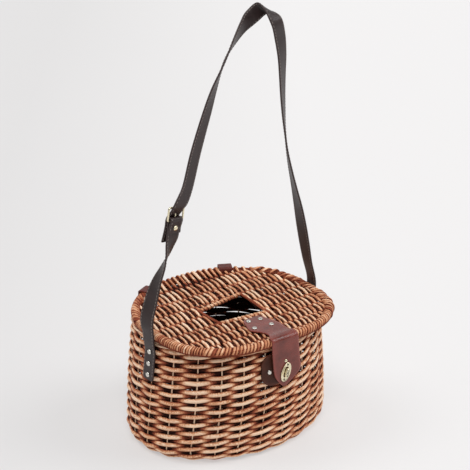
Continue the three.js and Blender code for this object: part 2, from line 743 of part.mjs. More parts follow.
// Sections of a strap along a smooth curve through its stations; its width is square to its run
// except where it folds
function strapRings(stations, taper) {
  const run = new THREE.CatmullRomCurve3(stations.map(({ at }) => at), false, 'centripetal');
  const squared = stations.map(({ width, folded }, i) => {
    const along = run.getTangent(i / (stations.length - 1));
    const square = folded ? 0 : width.dot(along);
    return width.clone().addScaledVector(along, -square).normalize();
  });
  const widths = new THREE.CatmullRomCurve3(squared, false, 'catmullrom', 0.5);
  const steps = (stations.length - 1) * STRAP_SAMPLES;
  const rings = [];
  for (let i = 0; i <= steps; i += 1) {
    const share = i / steps;
    const at = run.getPoint(share);
    const across = widths.getPoint(share).normalize();
    const out = across.clone().cross(run.getTangent(share)).setLength(HALF_LEATHER);
    const half = across.multiplyScalar((STRAP_WIDTH / 2) * taper(at));
    rings.push([
      at.clone().sub(half).sub(out),
      at.clone().add(half).sub(out),
      at.clone().add(half).add(out),
      at.clone().sub(half).add(out),
    ]);
  }
  return rings;
}

// The riveted ends are cut round below the lowest rivet
function roundedEnd(at) {
  const reach = at.z - STRAP_END_Z;
  const radius = STRAP_WIDTH / 2;
  if (reach >= radius) {
    return 1;
  }
  const arc = Math.sqrt(1 - (1 - reach / radius) ** 2);
  return STRAP_END_SQUARE + (1 - STRAP_END_SQUARE) * arc;
}

function addStraps() {
  const heelLoop = HEEL_LOOP_ANGLES.map((degrees) => {
    const angle = THREE.MathUtils.degToRad(degrees);
    return { along: HEEL_LOOP_RADIUS * Math.cos(angle), out: HEEL_LOOP_RADIUS * Math.sin(angle) };
  });
  const short = [
    ...strapEndStations(-1),
    ...SHORT_STRAP_ROWS.map(strapStation),
    ...[...SHORT_FOLD_ROWS, ...heelLoop, ...FOLD_TAIL_ROWS].map(buckleStation),
  ];
  addStack('strap_short', strapRings(short, roundedEnd), strapLeather);

  const long = [
    ...strapEndStations(1),
    ...LONG_STRAP_ROWS.map(strapStation),
    ...LONG_END_ROWS.map(buckleStation),
  ];
  const longStrap = addStack('strap_long', strapRings(long, roundedEnd), strapLeather);

  const half = BUCKLE_INSIDE.width / 2;
  const low = -BUCKLE_BAR / 2;
  const high = BUCKLE_INSIDE.length + 1.5 * BUCKLE_BAR;
  const shape = roundedOutline(new THREE.Shape(), half + BUCKLE_BAR, low, high, BUCKLE_CORNER);
  shape.holes.push(roundedOutline(new THREE.Path(), half, low + BUCKLE_BAR, high - BUCKLE_BAR,
    BUCKLE_CORNER - BUCKLE_BAR));
  const frame = extrude(shape, BUCKLE_BAR, 3);
  frame.translate(0, 0, -BUCKLE_BAR / 2);
  const pose = new THREE.Matrix4().makeBasis(buckleWidth, BUCKLE_UP, buckleOut);
  pose.setPosition(BUCKLE_HEEL);
  addMesh('buckle_frame', frame.applyMatrix4(pose), brass);

  const prongStart = HEEL_LOOP_RADIUS + HALF_LEATHER + SEAT_GAP + PRONG.thickness / 2;
  const prongLength = high + PRONG.overhang - prongStart;
  const restOut = BUCKLE_BAR / 2 + 2 * SEAT_GAP + PRONG.thickness / 2;
  const rise = Math.atan2(restOut, high - BUCKLE_BAR - prongStart);
  const prongBar = (spare) => {
    const bar = new THREE.BoxGeometry(PRONG.width + spare, prongLength, PRONG.thickness + spare);
    bar.translate(0, prongLength / 2, 0);
    bar.rotateX(rise);
    bar.translate(0, prongStart, 0);
    return bar.applyMatrix4(pose);
  };
  addMesh('buckle_prong', prongBar(0), brass);
  cutMesh(longStrap, [prongBar(PRONG.holeSpare)]);
}

function addRivets() {
  for (const { word, side } of [{ word: 'left', side: -1 }, { word: 'right', side: 1 }]) {
    STRAP_RIVET_Z.forEach((z, i) => {
      const turn = THREE.MathUtils.degToRad(STRAP_END_TURN);
      const axis = new THREE.Vector3(side * Math.cos(turn), -Math.sin(turn), 0);
      const reach = wallEnd(STRAP_Y, z) + STRAP_WALL_GAP + LEATHER + STRAP_RIVET_EASE;
      const seat = new THREE.Vector3(side * reach, STRAP_Y, z);
      addDome(`strap_rivet_${word}_${i + 1}`, seat, axis, RIVET, nickel);
    });
    const { x, z } = PATCH_RIVET;
    const seat = new THREE.Vector3(side * x, -(wallFront(x, z) + SEAT_GAP + PATCH_LEATHER), z);
    const slope = wallFront(x - RIVET.radius, z) - wallFront(x + RIVET.radius, z);
    const axis = new THREE.Vector3((side * slope) / (2 * RIVET.radius), -1, 0);
    addDome(`patch_rivet_${word}`, seat, axis, PATCH_RIVET_HEAD, nickel);
  }
  LID_RIVETS.forEach(({ x, y }, i) => {
    const seat = new THREE.Vector3(x, y, TONGUE_Z + HALF_LEATHER);
    addDome(`lid_rivet_${i + 1}`, seat, new THREE.Vector3(0, 0, 1), RIVET, nickel);
  });
  const foldSeat = bucklePlace(FOLD_RIVET.along, FOLD_RIVET.out - HALF_LEATHER);
  addDome('fold_rivet', foldSeat, buckleOut.clone().negate(), RIVET, brass);
  const studSeat = new THREE.Vector3(FLAP_STUD.x, flapY(FLAP_STUD.z) - HALF_LEATHER, FLAP_STUD.z);
  addDome('flap_stud', studSeat, new THREE.Vector3(0, -1, 0), FLAP_STUD, brass);
}

const wall = addBody();
const panel = addLid();
addHinges(wall, panel);
addLatch();
addLock();
addStraps();
addRivets();

export default part;
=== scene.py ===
"""Weaves an oval willow basket with its lid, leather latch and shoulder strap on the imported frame."""

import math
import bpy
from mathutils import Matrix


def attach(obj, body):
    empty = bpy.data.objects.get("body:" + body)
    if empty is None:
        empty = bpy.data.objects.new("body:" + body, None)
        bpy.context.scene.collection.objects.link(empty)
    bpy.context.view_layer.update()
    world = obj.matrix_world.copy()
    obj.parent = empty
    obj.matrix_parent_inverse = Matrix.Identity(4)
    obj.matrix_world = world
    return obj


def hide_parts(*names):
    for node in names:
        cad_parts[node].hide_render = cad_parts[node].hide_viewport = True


bl_info = {
    "name": "Willow basket with a leather strap",
    "version": (1, 0, 0),
    "blender": (4, 5, 0),
    "location": "3D View > Sidebar > Basket",
    "description": "Weaves an oval lidded willow basket with a leather latch and shoulder strap",
    "category": "Add Mesh",
}

from typing import NamedTuple

import bpy
import numpy as np
from mathutils import Vector

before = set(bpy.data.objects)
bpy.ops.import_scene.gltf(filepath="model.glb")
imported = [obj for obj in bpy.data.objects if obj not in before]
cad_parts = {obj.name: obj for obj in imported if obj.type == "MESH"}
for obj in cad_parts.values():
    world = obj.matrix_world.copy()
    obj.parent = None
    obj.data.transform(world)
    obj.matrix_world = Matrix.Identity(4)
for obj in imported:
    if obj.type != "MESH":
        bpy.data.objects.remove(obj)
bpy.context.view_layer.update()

# Sizes in this file are millimetres, as in the frame's source, and meshes are made in metres
MM = 0.001
OUTLINE_STEPS = 1440
SEAT_GAP = 0.3
UPWARD = (0.0, 0.0, 1.0)
TO_THE_FRONT = (0.0, -1.0, 0.0)

# Woven body
BODY_HEIGHT = 189.0
FOOT_ROUND = 20.0
FOOT_ARC = FOOT_ROUND * math.pi / 2
BODY_FRONT_POWER = 1.95
BODY_BACK_POWER = 2.4
BODY_LEVELS = np.array([20.0, 113.0, 189.0])
BODY_HALF_LENGTHS = np.array([165.0, 155.5, 147.5])
BODY_HALF_DEPTHS = np.array([124.5, 135.0, 131.0])
WALL = 11.0
WALL_TOP = 178.9
# Climb, up the wall's face from the floor, of a pass in front of the stake that faces the camera, the
# lowest climb of any pass, and the number of passes by which a row drops in one lap of the wall
PASS_CLIMB = 131.2
PASS_STAKE = 4
LOWEST_PASS = 4.5
PASSES_LOST_IN_A_LAP = 4
# Bays between the stakes of the front left, from the stake nearest the latch and on to the left end, and the
# height at which they are measured
BAY_LEVEL = 113.0
FIRST_STAKE_X = -26.0
FRONT_LEFT_BAYS = (35.0, 33.0, 36.0, 39.0, 39.0, 41.0)

# Woven lid
LID_HALF_LENGTH = 150.0
LID_HALF_DEPTH = 138.5
LID_FRONT_POWER = 2.8
LID_BACK_POWER = 2.15
BORDER_WIDTH = 14.0
BORDER_HEIGHT = 12.5
LID_TOP = BODY_HEIGHT + BORDER_HEIGHT
PANEL_TOP = LID_TOP - 3.0
PANEL_BOTTOM = BODY_HEIGHT + 2.0
# Depths of the rods that run from side to side in the lid
LID_ROWS = (-105.0, -82.0, -53.0, -19.0, 13.5, 45.0, 81.0)
# Stretch of the back edge where the lid's weavers go over the border
OVER_BORDER = (-98.0, 112.0)
HOLE_CORNERS = np.array([(33.0, -45.0), (38.0, 25.0), (-42.0, 12.0), (-41.0, -36.0)])

# Leather hinge loops
HINGE_X = 78.0
HINGE_WIDTH = 22.0
HINGE_LEATHER = 2.0
HINGE_CORNER = 4.0
HINGE_OUTSIDE = 2.5
HINGE_INSIDE = 18.2
HINGE_LOW = 176.2
HINGE_HIGH = 203.8

# Cut leather: share of the edge's rounding that is taken off its ends, and the most of its half thickness
# that a rounding takes
END_SOFTNESS = 0.7
ROUNDEST = 0.95

# Leather latch
LEATHER = 2.5
HALF_LEATHER = LEATHER / 2
TONGUE_Z = PANEL_TOP + SEAT_GAP + HALF_LEATHER
OVER_BORDER_Z = LID_TOP + SEAT_GAP + HALF_LEATHER
FLAP_Y = -(LID_HALF_DEPTH + SEAT_GAP + HALF_LEATHER)
FLAP_LEAN = 0.4
FLAP_TIP_Z = 121.5
FOLD_RADIUS = 5.5
FOLD_EDGES = (-23.0, 25.0)
FOLD_STEPS = 8
# Rows of the tongue: depth, height, left and right edge
TONGUE_ROWS = (
    (-57, TONGUE_Z, -12, 11),
    (-62, TONGUE_Z, -18, 16),
    (-76, TONGUE_Z, -23, 20),
    (-89, TONGUE_Z, -27, 24),
    (-96, TONGUE_Z, -24, 25),
    (-108, TONGUE_Z, -15, 24.5),
    (-119, TONGUE_Z + 0.4, -14, 24),
    (-127, OVER_BORDER_Z, -19, 24.5),
)
# Rows of the flap: height, left and right edge
FLAP_ROWS = (
    (192, -23, 25.5),
    (176, -22, 27),
    (160, -20.5, 29),
    (146, -18.5, 30.5),
    (141, -17, 29),
    (134, -13, 21),
    (127, -7.5, 11.5),
    (123, -3.5, 5.5),
    (FLAP_TIP_Z, -1, 2.8),
)
PATCH_LEATHER = 2.0
PATCH_BOTTOM = 126.0
PATCH_TOP = 176.0
PATCH_LEFT = -36.0
PATCH_RIGHT = 30.0
PATCH_CORNER = 18.0
PATCH_RIVET_X = 23.0
PATCH_RIVET_Z = 149.0

# Turn lock
LOCK_X = 1.6
LOCK_Z = 145.0
LOCK_TILT = math.radians(17.0)
PLATE_HALF_LENGTH = 15.5
PLATE_HALF_WIDTH = 8.6
PLATE_THICKNESS = 1.6
SLOT_HALF_LENGTH = 8.6
SLOT_HALF_WIDTH = 3.2
KNOB_HALF_LENGTH = 7.2
KNOB_HALF_WIDTH = 2.6
KNOB_THICKNESS = 3.6
NECK_RADIUS = 2.0
LOCK_BASE_SEAT = 0.4
LOCK_BASE_THICKNESS = 0.8
STUD_X = 1.7
STUD_Z = 163.5
STUD_RADIUS = 2.6
STUD_HEIGHT = 1.6

# Shoulder strap
STRAP_Y = -10.0
STRAP_END_Z = 124.5
STRAP_END_ROWS = (STRAP_END_Z, 139.0, 155.0, 171.0)
STRAP_END_TURN = 5.0
STRAP_WALL_GAP = 0.6
STRAP_RIVET_EASE = 0.25
STRAP_END_SQUARE = 0.82
STRAP_END_ROUND = 12.0
STRAP_ROUNDING = 0.8
STRAP_RIVET_Z = (132.8, 150.8, 169.8)
# Rows of the straps: place of the middle, turn of the width in plan in degrees, and its rise
# out of plan where the strap folds over
SHORT_STRAP_ROWS = (
    (-152.5, STRAP_Y, 184, 5, None),
    (-153.5, STRAP_Y, 200, 8, None),
    (-155.5, STRAP_Y, 214, 16, None),
    (-154.5, STRAP_Y, 228, 20, None),
    (-149.5, STRAP_Y, 245, 18, None),
    (-143.5, STRAP_Y, 263, 10, None),
    (-135.5, STRAP_Y, 282, -7, None),
    (-125, STRAP_Y, 300, -27, None),
    (-117, STRAP_Y, 317, -48, None),
    (-113, STRAP_Y, 330, -64, None),
)
LONG_STRAP_ROWS = (
    (152.5, STRAP_Y, 186, -6, None),
    (152.5, STRAP_Y, 207, -5, None),
    (143.5, STRAP_Y, 241, -2, None),
    (136.5, STRAP_Y, 275, 3, None),
    (130, STRAP_Y, 307, 2, None),
    (123, STRAP_Y, 340, -6, None),
    (115, STRAP_Y, 372, -17, None),
    (107, STRAP_Y, 404, -25, None),
    (100.5, STRAP_Y, 435, -33, None),
    (96, STRAP_Y, 466, -38, None),
    (93, STRAP_Y, 496, -46, None),
    (91, STRAP_Y, 525, -52, None),
    (90, STRAP_Y, 553, -58, None),
    (89, STRAP_Y, 581, -66, None),
    (85, STRAP_Y, 610, -75, None),
    (78, -10, 635, -80, None),
    (75, 3, 648, -80, 23),
    (73, 18, 649.5, -114, 46),
    (57, 20, 640, -113, 46),
    (40, 18.5, 628, -75, None),
    (23, 15.5, 611, -57, None),
    (7, 12.5, 592, -42, None),
    (-6.5, 9.5, 571.5, -43, None),
    (-21.5, 6.5, 545.5, -57, None),
    (-35, 3.5, 517.5, -66, None),
    (-60, -2.5, 462.5, -73, None),
    (-80, -8, 411, -73, None),
    (-91, -13.5, 399, -77, None),
)

# Buckle
BUCKLE_HEEL = np.array([-103.0, STRAP_Y, 369.0])
BUCKLE_UP = np.array([0.157, 0.0, 0.988])
BUCKLE_TURN = -80.0
BUCKLE_BAR = 3.0
BUCKLE_INSIDE_WIDTH = 27.0
BUCKLE_INSIDE_LENGTH = 17.0
BUCKLE_CORNER = 4.0
PRONG_WIDTH = 2.6
PRONG_THICKNESS = 1.8
PRONG_OVERHANG = 1.0
HEEL_LOOP_RADIUS = 3.7
HEEL_LOOP_ANGLES = (70, 35, 0, -35, -70)
# Rows of the straps at the buckle: along it from the heel bar, and out of its plane
SHORT_FOLD_ROWS = ((-26, 1.45), (-10, 1.55), (-4.5, 2.9))
FOLD_TAIL_ROWS = ((-4.5, -2.9), (-10, -1.6), (-15, -1.45), (-20, -1.45))
LONG_END_ROWS = (
    (20, -3.8),
    (12.5, 0),
    (6.5, 4.2),
    (0, 6.8),
    (-10, 7),
    (-24, 8.6),
    (-36, 10.5),
)
FOLD_RIVET_ALONG = -11.5
FOLD_RIVET_OUT = -1.95

# Rivets
RIVET_RADIUS = 4.0
RIVET_HEIGHT = 2.0
PATCH_RIVET_RADIUS = 3.6
PATCH_RIVET_HEIGHT = 1.1
LID_RIVETS = ((-11.5, -66.0), (8.0, -69.5), (11.0, -93.0), (-17.5, -89.5))

# Camera: place in metres, azimuth and tilt in degrees, lens and sensor in millimetres
CAMERA_AT = (-1.2716, -1.7711, 1.2572)
CAMERA_AZIMUTH = 35.92
CAMERA_TILT = 23.35
CAMERA_LENS = 121.31
CAMERA_SENSOR = 36.0


def linear_colour(value):
    """Linear colour of an sRGB hex value."""
    channels = [int(value[i : i + 2], 16) / 255 for i in (0, 2, 4)]
    return tuple(c / 12.92 if c <= 0.04045 else ((c + 0.055) / 1.055) ** 2.4 for c in channels)


def with_alpha(colour):
    """The same colour, opaque."""
    return (*colour[:3], 1.0)


def scaled(colour, share):
    """The same colour with this share of its light."""
    return tuple(min(1.0, channel * share) for channel in colour[:3])


class WovenSizes(bpy.types.PropertyGroup):
    """Sizes of the willow work."""

    stakes: bpy.props.IntProperty(
        name="Stakes", description="Upright rods of the wall", default=24, min=8
    )
    pass_pitch: bpy.props.FloatProperty(
        name="Pass pitch", description="Height from one pass in front of a stake to the next",
        default=0.0139, unit="LENGTH",
    )
    weaver_height: bpy.props.FloatProperty(
        name="Weaver height", description="Height of a weaver where it passes in front of a stake",
        default=0.0071, unit="LENGTH",
    )
    weaver_thickness: bpy.props.FloatProperty(
        name="Weaver thickness", description="Thickness of a weaver through the wall",
        default=0.0048, unit="LENGTH",
    )
    stake_width: bpy.props.FloatProperty(
        name="Stake width", description="Width of an upright rod", default=0.0025, unit="LENGTH"
    )
    lid_pass_pitch: bpy.props.FloatProperty(
        name="Lid pass pitch", description="Spacing of the passes over one rod of the lid",
        default=0.0095, unit="LENGTH",
    )
    lid_weaver_width: bpy.props.FloatProperty(
        name="Lid weaver width", description="Width of the lid's front-to-back rods",
        default=0.0047, unit="LENGTH",
    )


class LeatherSizes(bpy.types.PropertyGroup):
    """Sizes of the leather work."""

    strap_width: bpy.props.FloatProperty(
        name="Strap width", description="Width of the shoulder strap", default=0.024, unit="LENGTH"
    )
    strap_thickness: bpy.props.FloatProperty(
        name="Strap thickness", description="Thickness of the shoulder strap", default=0.0025, unit="LENGTH"
    )
    stitch_pitch: bpy.props.FloatProperty(
        name="Stitch pitch", description="Spacing of the stitches along the strap", default=0.005, unit="LENGTH"
    )
    stitch_margin: bpy.props.FloatProperty(
        name="Stitch margin", description="Distance of the stitches from the strap's edge",
        default=0.0022, unit="LENGTH",
    )


class FinishColours(bpy.types.PropertyGroup):
    """Colours of the finishes."""

    # Pale crests: rubbed willow, and a painted highlight
    willow_pale: bpy.props.FloatVectorProperty(
        name="Willow, pale", description="Rubbed crests of the willow rods",
        default=linear_colour("f7d6b8"), size=3, min=0, max=1, subtype="COLOR",
    )
    willow_tan: bpy.props.FloatVectorProperty(
        name="Willow, tan", description="Body of the willow rods",
        default=linear_colour("d6986e"), size=3, min=0, max=1, subtype="COLOR",
    )
    # Red-brown flanks: stain, and painted shade where the rods turn away
    willow_red: bpy.props.FloatVectorProperty(
        name="Willow, red", description="Stained flanks of the willow rods",
        default=linear_colour("924831"), size=3, min=0, max=1, subtype="COLOR",
    )
    # Dark backs: painted shade on the backs and inner sides of the rods
    willow_dark: bpy.props.FloatVectorProperty(
        name="Willow, dark", description="Backs of the willow rods",
        default=linear_colour("260d07"), size=3, min=0, max=1, subtype="COLOR",
    )
    strap: bpy.props.FloatVectorProperty(
        name="Strap leather", description="Leather of the shoulder strap",
        default=linear_colour("2b1d1c"), size=3, min=0, max=1, subtype="COLOR",
    )
    latch: bpy.props.FloatVectorProperty(
        name="Latch leather", description="Leather of the latch and the hinges",
        default=linear_colour("72362e"), size=3, min=0, max=1, subtype="COLOR",
    )
    patch: bpy.props.FloatVectorProperty(
        name="Patch leather", description="Leather of the patch behind the flap",
        default=linear_colour("452419"), size=3, min=0, max=1, subtype="COLOR",
    )
    thread: bpy.props.FloatVectorProperty(
        name="Thread", description="Thread of the strap's stitching",
        default=linear_colour("91867f"), size=3, min=0, max=1, subtype="COLOR",
    )
    brass: bpy.props.FloatVectorProperty(
        name="Brass", description="Lock, buckle and fold rivet",
        default=linear_colour("f2e6c6"), size=3, min=0, max=1, subtype="COLOR",
    )
    nickel: bpy.props.FloatVectorProperty(
        name="Nickel", description="Rivets of the strap and the latch",
        default=linear_colour("e2ded6"), size=3, min=0, max=1, subtype="COLOR",
    )
    floor: bpy.props.FloatVectorProperty(
        name="Floor", description="Paper that the basket stands on",
        default=linear_colour("9f9e9e"), size=3, min=0, max=1, subtype="COLOR",
    )


class Skein:
    """Rods, strips or turned pieces gathered into one mesh, with values for the materials at each point."""

    def __init__(self):
        self.points, self.faces, self.count = [], [], 0
        self.marks = {}

    def add(self, points, faces, **marks):
        """Adds points and the faces between them, with their marks."""
        for name in set(marks) | set(self.marks):
            held = self.marks.setdefault(name, [np.zeros(self.count)])
            held.append(np.broadcast_to(np.asarray(marks.get(name, 0.0), float), (len(points),)))
        self.points.append(points)
        self.faces.extend(tuple(int(i) + self.count for i in face) for face in faces)
        self.count += len(points)

    def piece(self, name, material, slot, nodes=(), body="basket"):
        """Makes the piece, rides it on its body and lets it stand for its nodes."""
        mesh = bpy.data.meshes.new(name)
        mesh.from_pydata((np.vstack(self.points) * MM).tolist(), [], self.faces)
        mesh.polygons.foreach_set("use_smooth", [True] * len(mesh.polygons))
        for mark, values in self.marks.items():
            layer = mesh.attributes.new(mark, "FLOAT", "POINT")
            layer.data.foreach_set("value", np.concatenate(values).astype(np.float32))
        mesh.materials.append(material)
        made = bpy.data.objects.new(name, mesh)
        bpy.context.scene.collection.objects.link(made)
        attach(made, body)
        if nodes:
            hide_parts(*nodes)
        return made


def unit(vectors):
    """Vectors of the same direction and a length of one."""
    return vectors / np.maximum(np.linalg.norm(vectors, axis=-1, keepdims=True), 1e-9)


def tangents(path, closed):
    """Direction of a path at each of its places."""
    if closed:
        return unit(np.roll(path, -1, 0) - np.roll(path, 1, 0))
    return unit(np.gradient(path, axis=0))


def running_length(path):
    """Length of a path up to each of its places."""
    return np.concatenate([[0.0], np.cumsum(np.linalg.norm(np.diff(path, axis=0), axis=1))])


def at_length(length, reach, values):
    """Value at a length along a path, from the values at its places."""
    return np.array([np.interp(length, reach, values[:, k]) for k in range(values.shape[1])])


def skin_faces(rings, sides, closed):
    """Faces between rings of equal size, with flat ends where the run isn't closed."""
    faces = []
    for i in range(rings if closed else rings - 1):
        here, there = i * sides, ((i + 1) % rings) * sides
        for k in range(sides):
            after = (k + 1) % sides
            faces.append((here + k, there + k, there + after, here + after))
    if not closed:
        faces.append(tuple(range(sides - 1, -1, -1)))
        faces.append(tuple(range((rings - 1) * sides, rings * sides)))
    return faces


def at_each(values, count):
    """One value for each place, from a single value or from one for each."""
    return np.broadcast_to(np.asarray(values, float), (count,))


def add_rod(
    skein, path, up, half_across, half_up, sides=8, closed=False, tone=0.5, crest=0.5, crevice=0.0, inside=0.0
):
    """A rod along a path; its section is an oval that is half_up high along up. Its sides along up are darker
    by the crevice value, painted shade where neighbouring rods press close, and its inner side by the inside
    value, painted shade inside the work."""
    count = len(path)
    along = tangents(path, closed)
    up = unit(up - along * np.sum(up * along, axis=1, keepdims=True))
    across = np.cross(along, up)
    turn = 2 * math.pi * np.arange(sides) / sides
    wide, high = at_each(half_across, count), at_each(half_up, count)
    points = (
        path[:, None, :]
        + across[:, None, :] * (wide[:, None] * np.cos(turn))[:, :, None]
        + up[:, None, :] * (high[:, None] * np.sin(turn))[:, :, None]
    ).reshape(-1, 3)
    # Painted shade: darker sides along up and a darker inner side, taken off the rod's lightness
    painted_shade = crevice * np.abs(np.sin(turn)) ** 3 + inside * np.clip(-np.cos(turn), 0, 1)
    skein.add(
        points,
        skin_faces(count, sides, closed),
        tone=np.repeat(at_each(tone, count), sides),
        crest=np.repeat(at_each(crest, count), sides) - np.tile(painted_shade, count),
        run=np.repeat(running_length(path), sides),
        around=np.tile(turn / (2 * math.pi), count),
    )


def tapered(count, end=0.35, share=0.06):
    """Narrowing at both ends of an open rod."""
    place = np.linspace(0, 1, count)
    return np.clip(end + (1 - end) * np.minimum(place, 1 - place) / share, end, 1)


def plan_outline(shape):
    """Outline of an oval from the middle of the front and on to the right, with its running length."""
    half_length, half_depth, front, back = shape
    turn = -math.pi / 2 + np.linspace(0, 2 * math.pi, OUTLINE_STEPS + 1)
    c, s = np.cos(turn), np.sin(turn)
    power = 2 / np.where(s < 0, front, back)
    points = np.column_stack(
        [half_length * np.sign(c) * np.abs(c) ** power, half_depth * np.sign(s) * np.abs(s) ** power]
    )
    return points, running_length(points)


def through_levels(z, values):
    """Smooth curve through the body's three levels."""
    total = 0.0
    for i, level in enumerate(BODY_LEVELS):
        others = np.delete(BODY_LEVELS, i)
        total = total + values[i] * np.prod([(z - other) / (level - other) for other in others], axis=0)
    return total


def body_shape(z, inset):
    """Half sizes and powers of the body's oval at a height, this far inside its face."""
    level = max(z, FOOT_ROUND)
    return (
        through_levels(level, BODY_HALF_LENGTHS) - inset,
        through_levels(level, BODY_HALF_DEPTHS) - inset,
        BODY_FRONT_POWER,
        BODY_BACK_POWER,
    )


def lid_shape(inset):
    """Half sizes and powers of the lid's oval, this far inside its edge."""
    return (LID_HALF_LENGTH - inset, LID_HALF_DEPTH - inset, LID_FRONT_POWER, LID_BACK_POWER)


def wall_place(climb, depth, turn):
    """Places on the wall: a climb up its face from the floor, a depth inside that face and a turn in plan."""
    climb, depth, turn = np.broadcast_arrays(*(np.asarray(value, float) for value in (climb, depth, turn)))
    lean = np.clip(math.pi / 2 - climb / FOOT_ROUND, 0, math.pi / 2)
    z = FOOT_ROUND + np.maximum(climb - FOOT_ARC, 0) - (FOOT_ROUND - depth) * np.sin(lean)
    inset = FOOT_ROUND - (FOOT_ROUND - depth) * np.cos(lean)
    level = np.maximum(z, FOOT_ROUND)
    c, s = np.cos(turn), np.sin(turn)
    power = 2 / np.where(s < 0, BODY_FRONT_POWER, BODY_BACK_POWER)
    x = (through_levels(level, BODY_HALF_LENGTHS) - inset) * np.sign(c) * np.abs(c) ** power
    y = (through_levels(level, BODY_HALF_DEPTHS) - inset) * np.sign(s) * np.abs(s) ** power
    return np.stack([x, y, z], axis=-1)


def wall_front(x, z):
    """Depth of the body's front face at a place on it."""
    half_length, half_depth, front, _ = body_shape(z, 0)
    return half_depth * (1 - (abs(x) / half_length) ** front) ** (1 / front)


def wall_end(y, z):
    """Length of the body's end face at a place on it."""
    half_length, half_depth, front, _ = body_shape(z, 0)
    return half_length * (1 - (abs(y) / half_depth) ** front) ** (1 / front)


def stake_turns(stakes):
    """Turns in plan at which the stakes stand, with the first one again at the end."""
    points, reach = plan_outline(body_shape(BAY_LEVEL, WALL / 2))
    front = (points[:, 1] < 0) & (points[:, 0] < 0)
    order = np.argsort(points[front, 0])
    first = np.interp(FIRST_STAKE_X, points[front, 0][order], reach[front][order])
    measured = first - np.concatenate([[0.0], np.cumsum(FRONT_LEFT_BAYS)])
    left_over = reach[-1] - (measured[0] - measured[-1])
    bays = stakes - len(FRONT_LEFT_BAYS)
    rest = measured[0] + left_over * np.arange(1, bays + 1) / bays
    at = np.concatenate([measured[::-1], rest])
    laps = np.floor(at / reach[-1])
    turns = -math.pi / 2 + np.linspace(0, 2 * math.pi, OUTLINE_STEPS + 1)
    return np.interp(at - laps * reach[-1], reach, turns) + 2 * math.pi * laps


def curve_through(places, samples, centripetal=True):
    """Smooth curve through places, with even samples in each span, as the frame's source draws it."""
    places = np.asarray(places, float)
    padded = np.vstack([2 * places[0] - places[1], places, 2 * places[-1] - places[-2]])
    made = []
    for i in range(1, len(padded) - 2):
        a, b, c, d = padded[i - 1 : i + 3]
        if centripetal:
            s0, s1, s2 = (max(np.linalg.norm(q - p) ** 0.5, 1e-4) for p, q in ((a, b), (b, c), (c, d)))
            leave = ((b - a) / s0 - (c - a) / (s0 + s1) + (c - b) / s1) * s1
            arrive = ((c - b) / s1 - (d - b) / (s1 + s2) + (d - c) / s2) * s1
        else:
            leave, arrive = (c - a) / 2, (d - b) / 2
        last = i == len(padded) - 3
        t = np.linspace(0, 1, samples, endpoint=False)
        if last:
            t = np.append(t, 1.0)
        t = t[:, None]
        made.append(
            (2 * t**3 - 3 * t**2 + 1) * b
            + (t**3 - 2 * t**2 + t) * leave
            + (-2 * t**3 + 3 * t**2) * c
            + (t**3 - t**2) * arrive
        )
    return np.vstack(made)


def strip_section(half_width, half_thickness, rounding, steps=6):
    """Section of a leather strip with its cut edges rounded, and how near each point is to an edge."""
    corner = [
        (half_width - rounding + rounding * np.cos(turn), half_thickness - rounding + rounding * np.sin(turn))
        for turn in np.radians([0.0, 45.0, 90.0])
    ]
    spread = np.linspace(1, -1, steps + 1)[1:-1]
    face = np.broadcast_to(half_thickness, np.shape(half_width))
    upper = [*corner, *(((half_width - rounding) * share, face) for share in spread)]
    upper += [(-across, out) for across, out in corner[::-1]]
    edge = [1.0] * len(corner) + [abs(share) ** 8 for share in spread] + [1.0] * len(corner)
    lower = [(across, -out) for across, out in upper[-2:0:-1]]
    return upper + lower, edge + edge[-2:0:-1]


def lay_strip(skein, path, across, out, section, closed=False, reverse=False):
    """A leather strip through its section at each place of a path."""
    offsets, edge = section
    points = np.stack(
        [path + across * np.reshape(a, (-1, 1)) + out * np.reshape(b, (-1, 1)) for a, b in offsets], axis=1
    ).reshape(-1, 3)
    faces = skin_faces(len(path), len(offsets), closed)
    if reverse:
        faces = [corners[::-1] for corners in faces]
    skein.add(points, faces, edge=np.tile(edge, len(path)))


def add_strip(skein, path, across, half_width, half_thickness, rounding, steps):
    """A leather strip along a path, with rounded cut edges and softened ends."""
    along = tangents(path, False)
    out = unit(np.cross(across, along))
    inner = path.copy()
    inner[0] += along[0] * rounding
    inner[-1] -= along[-1] * rounding
    path = np.vstack([path[:1], inner, path[-1:]])
    across, out = (np.vstack([rows[:1], rows, rows[-1:]]) for rows in (across, out))
    softened = rounding * END_SOFTNESS
    width = np.concatenate([half_width[:1] - softened, half_width, half_width[-1:] - softened])
    thick = np.full(len(path), half_thickness)
    thick[[0, -1]] -= softened
    section = strip_section(width, thick, np.minimum(rounding, thick * ROUNDEST), steps)
    lay_strip(skein, path, across, out, section)


def add_lathe(skein, profile, seat, axis, sides=32):
    """A turned piece; its profile runs from the axis or the foot to the crown, as radius and height."""
    axis = unit(np.asarray(axis, float))
    side = unit(np.cross(axis, UPWARD if abs(axis[2]) < 0.9 else (0.0, 1.0, 0.0)))
    other = np.cross(axis, side)
    turn = 2 * math.pi * np.arange(sides) / sides
    ring = side[None, :] * np.cos(turn)[:, None] + other[None, :] * np.sin(turn)[:, None]
    points = np.vstack([np.asarray(seat) + ring * radius + axis * height for radius, height in profile])
    faces = [corners[::-1] for corners in skin_faces(len(profile), sides, False)[:-2]]
    faces.append(tuple(range(sides - 1, -1, -1)))
    faces.append(tuple(range((len(profile) - 1) * sides, len(profile) * sides)))
    skein.add(points, faces)


# Rivet's head: share of its height that the lip takes, width of its foot and of the dome as shares of the
# lip's, the lip's two rings as shares of its height, and the part of a quarter turn up to the crown's flat
DOME_LIP = 0.22
DOME_FOOT = 0.96
DOME_WIDTH = 0.97
DOME_LIP_RINGS = (0.4, 0.75)
DOME_TURN = 0.97


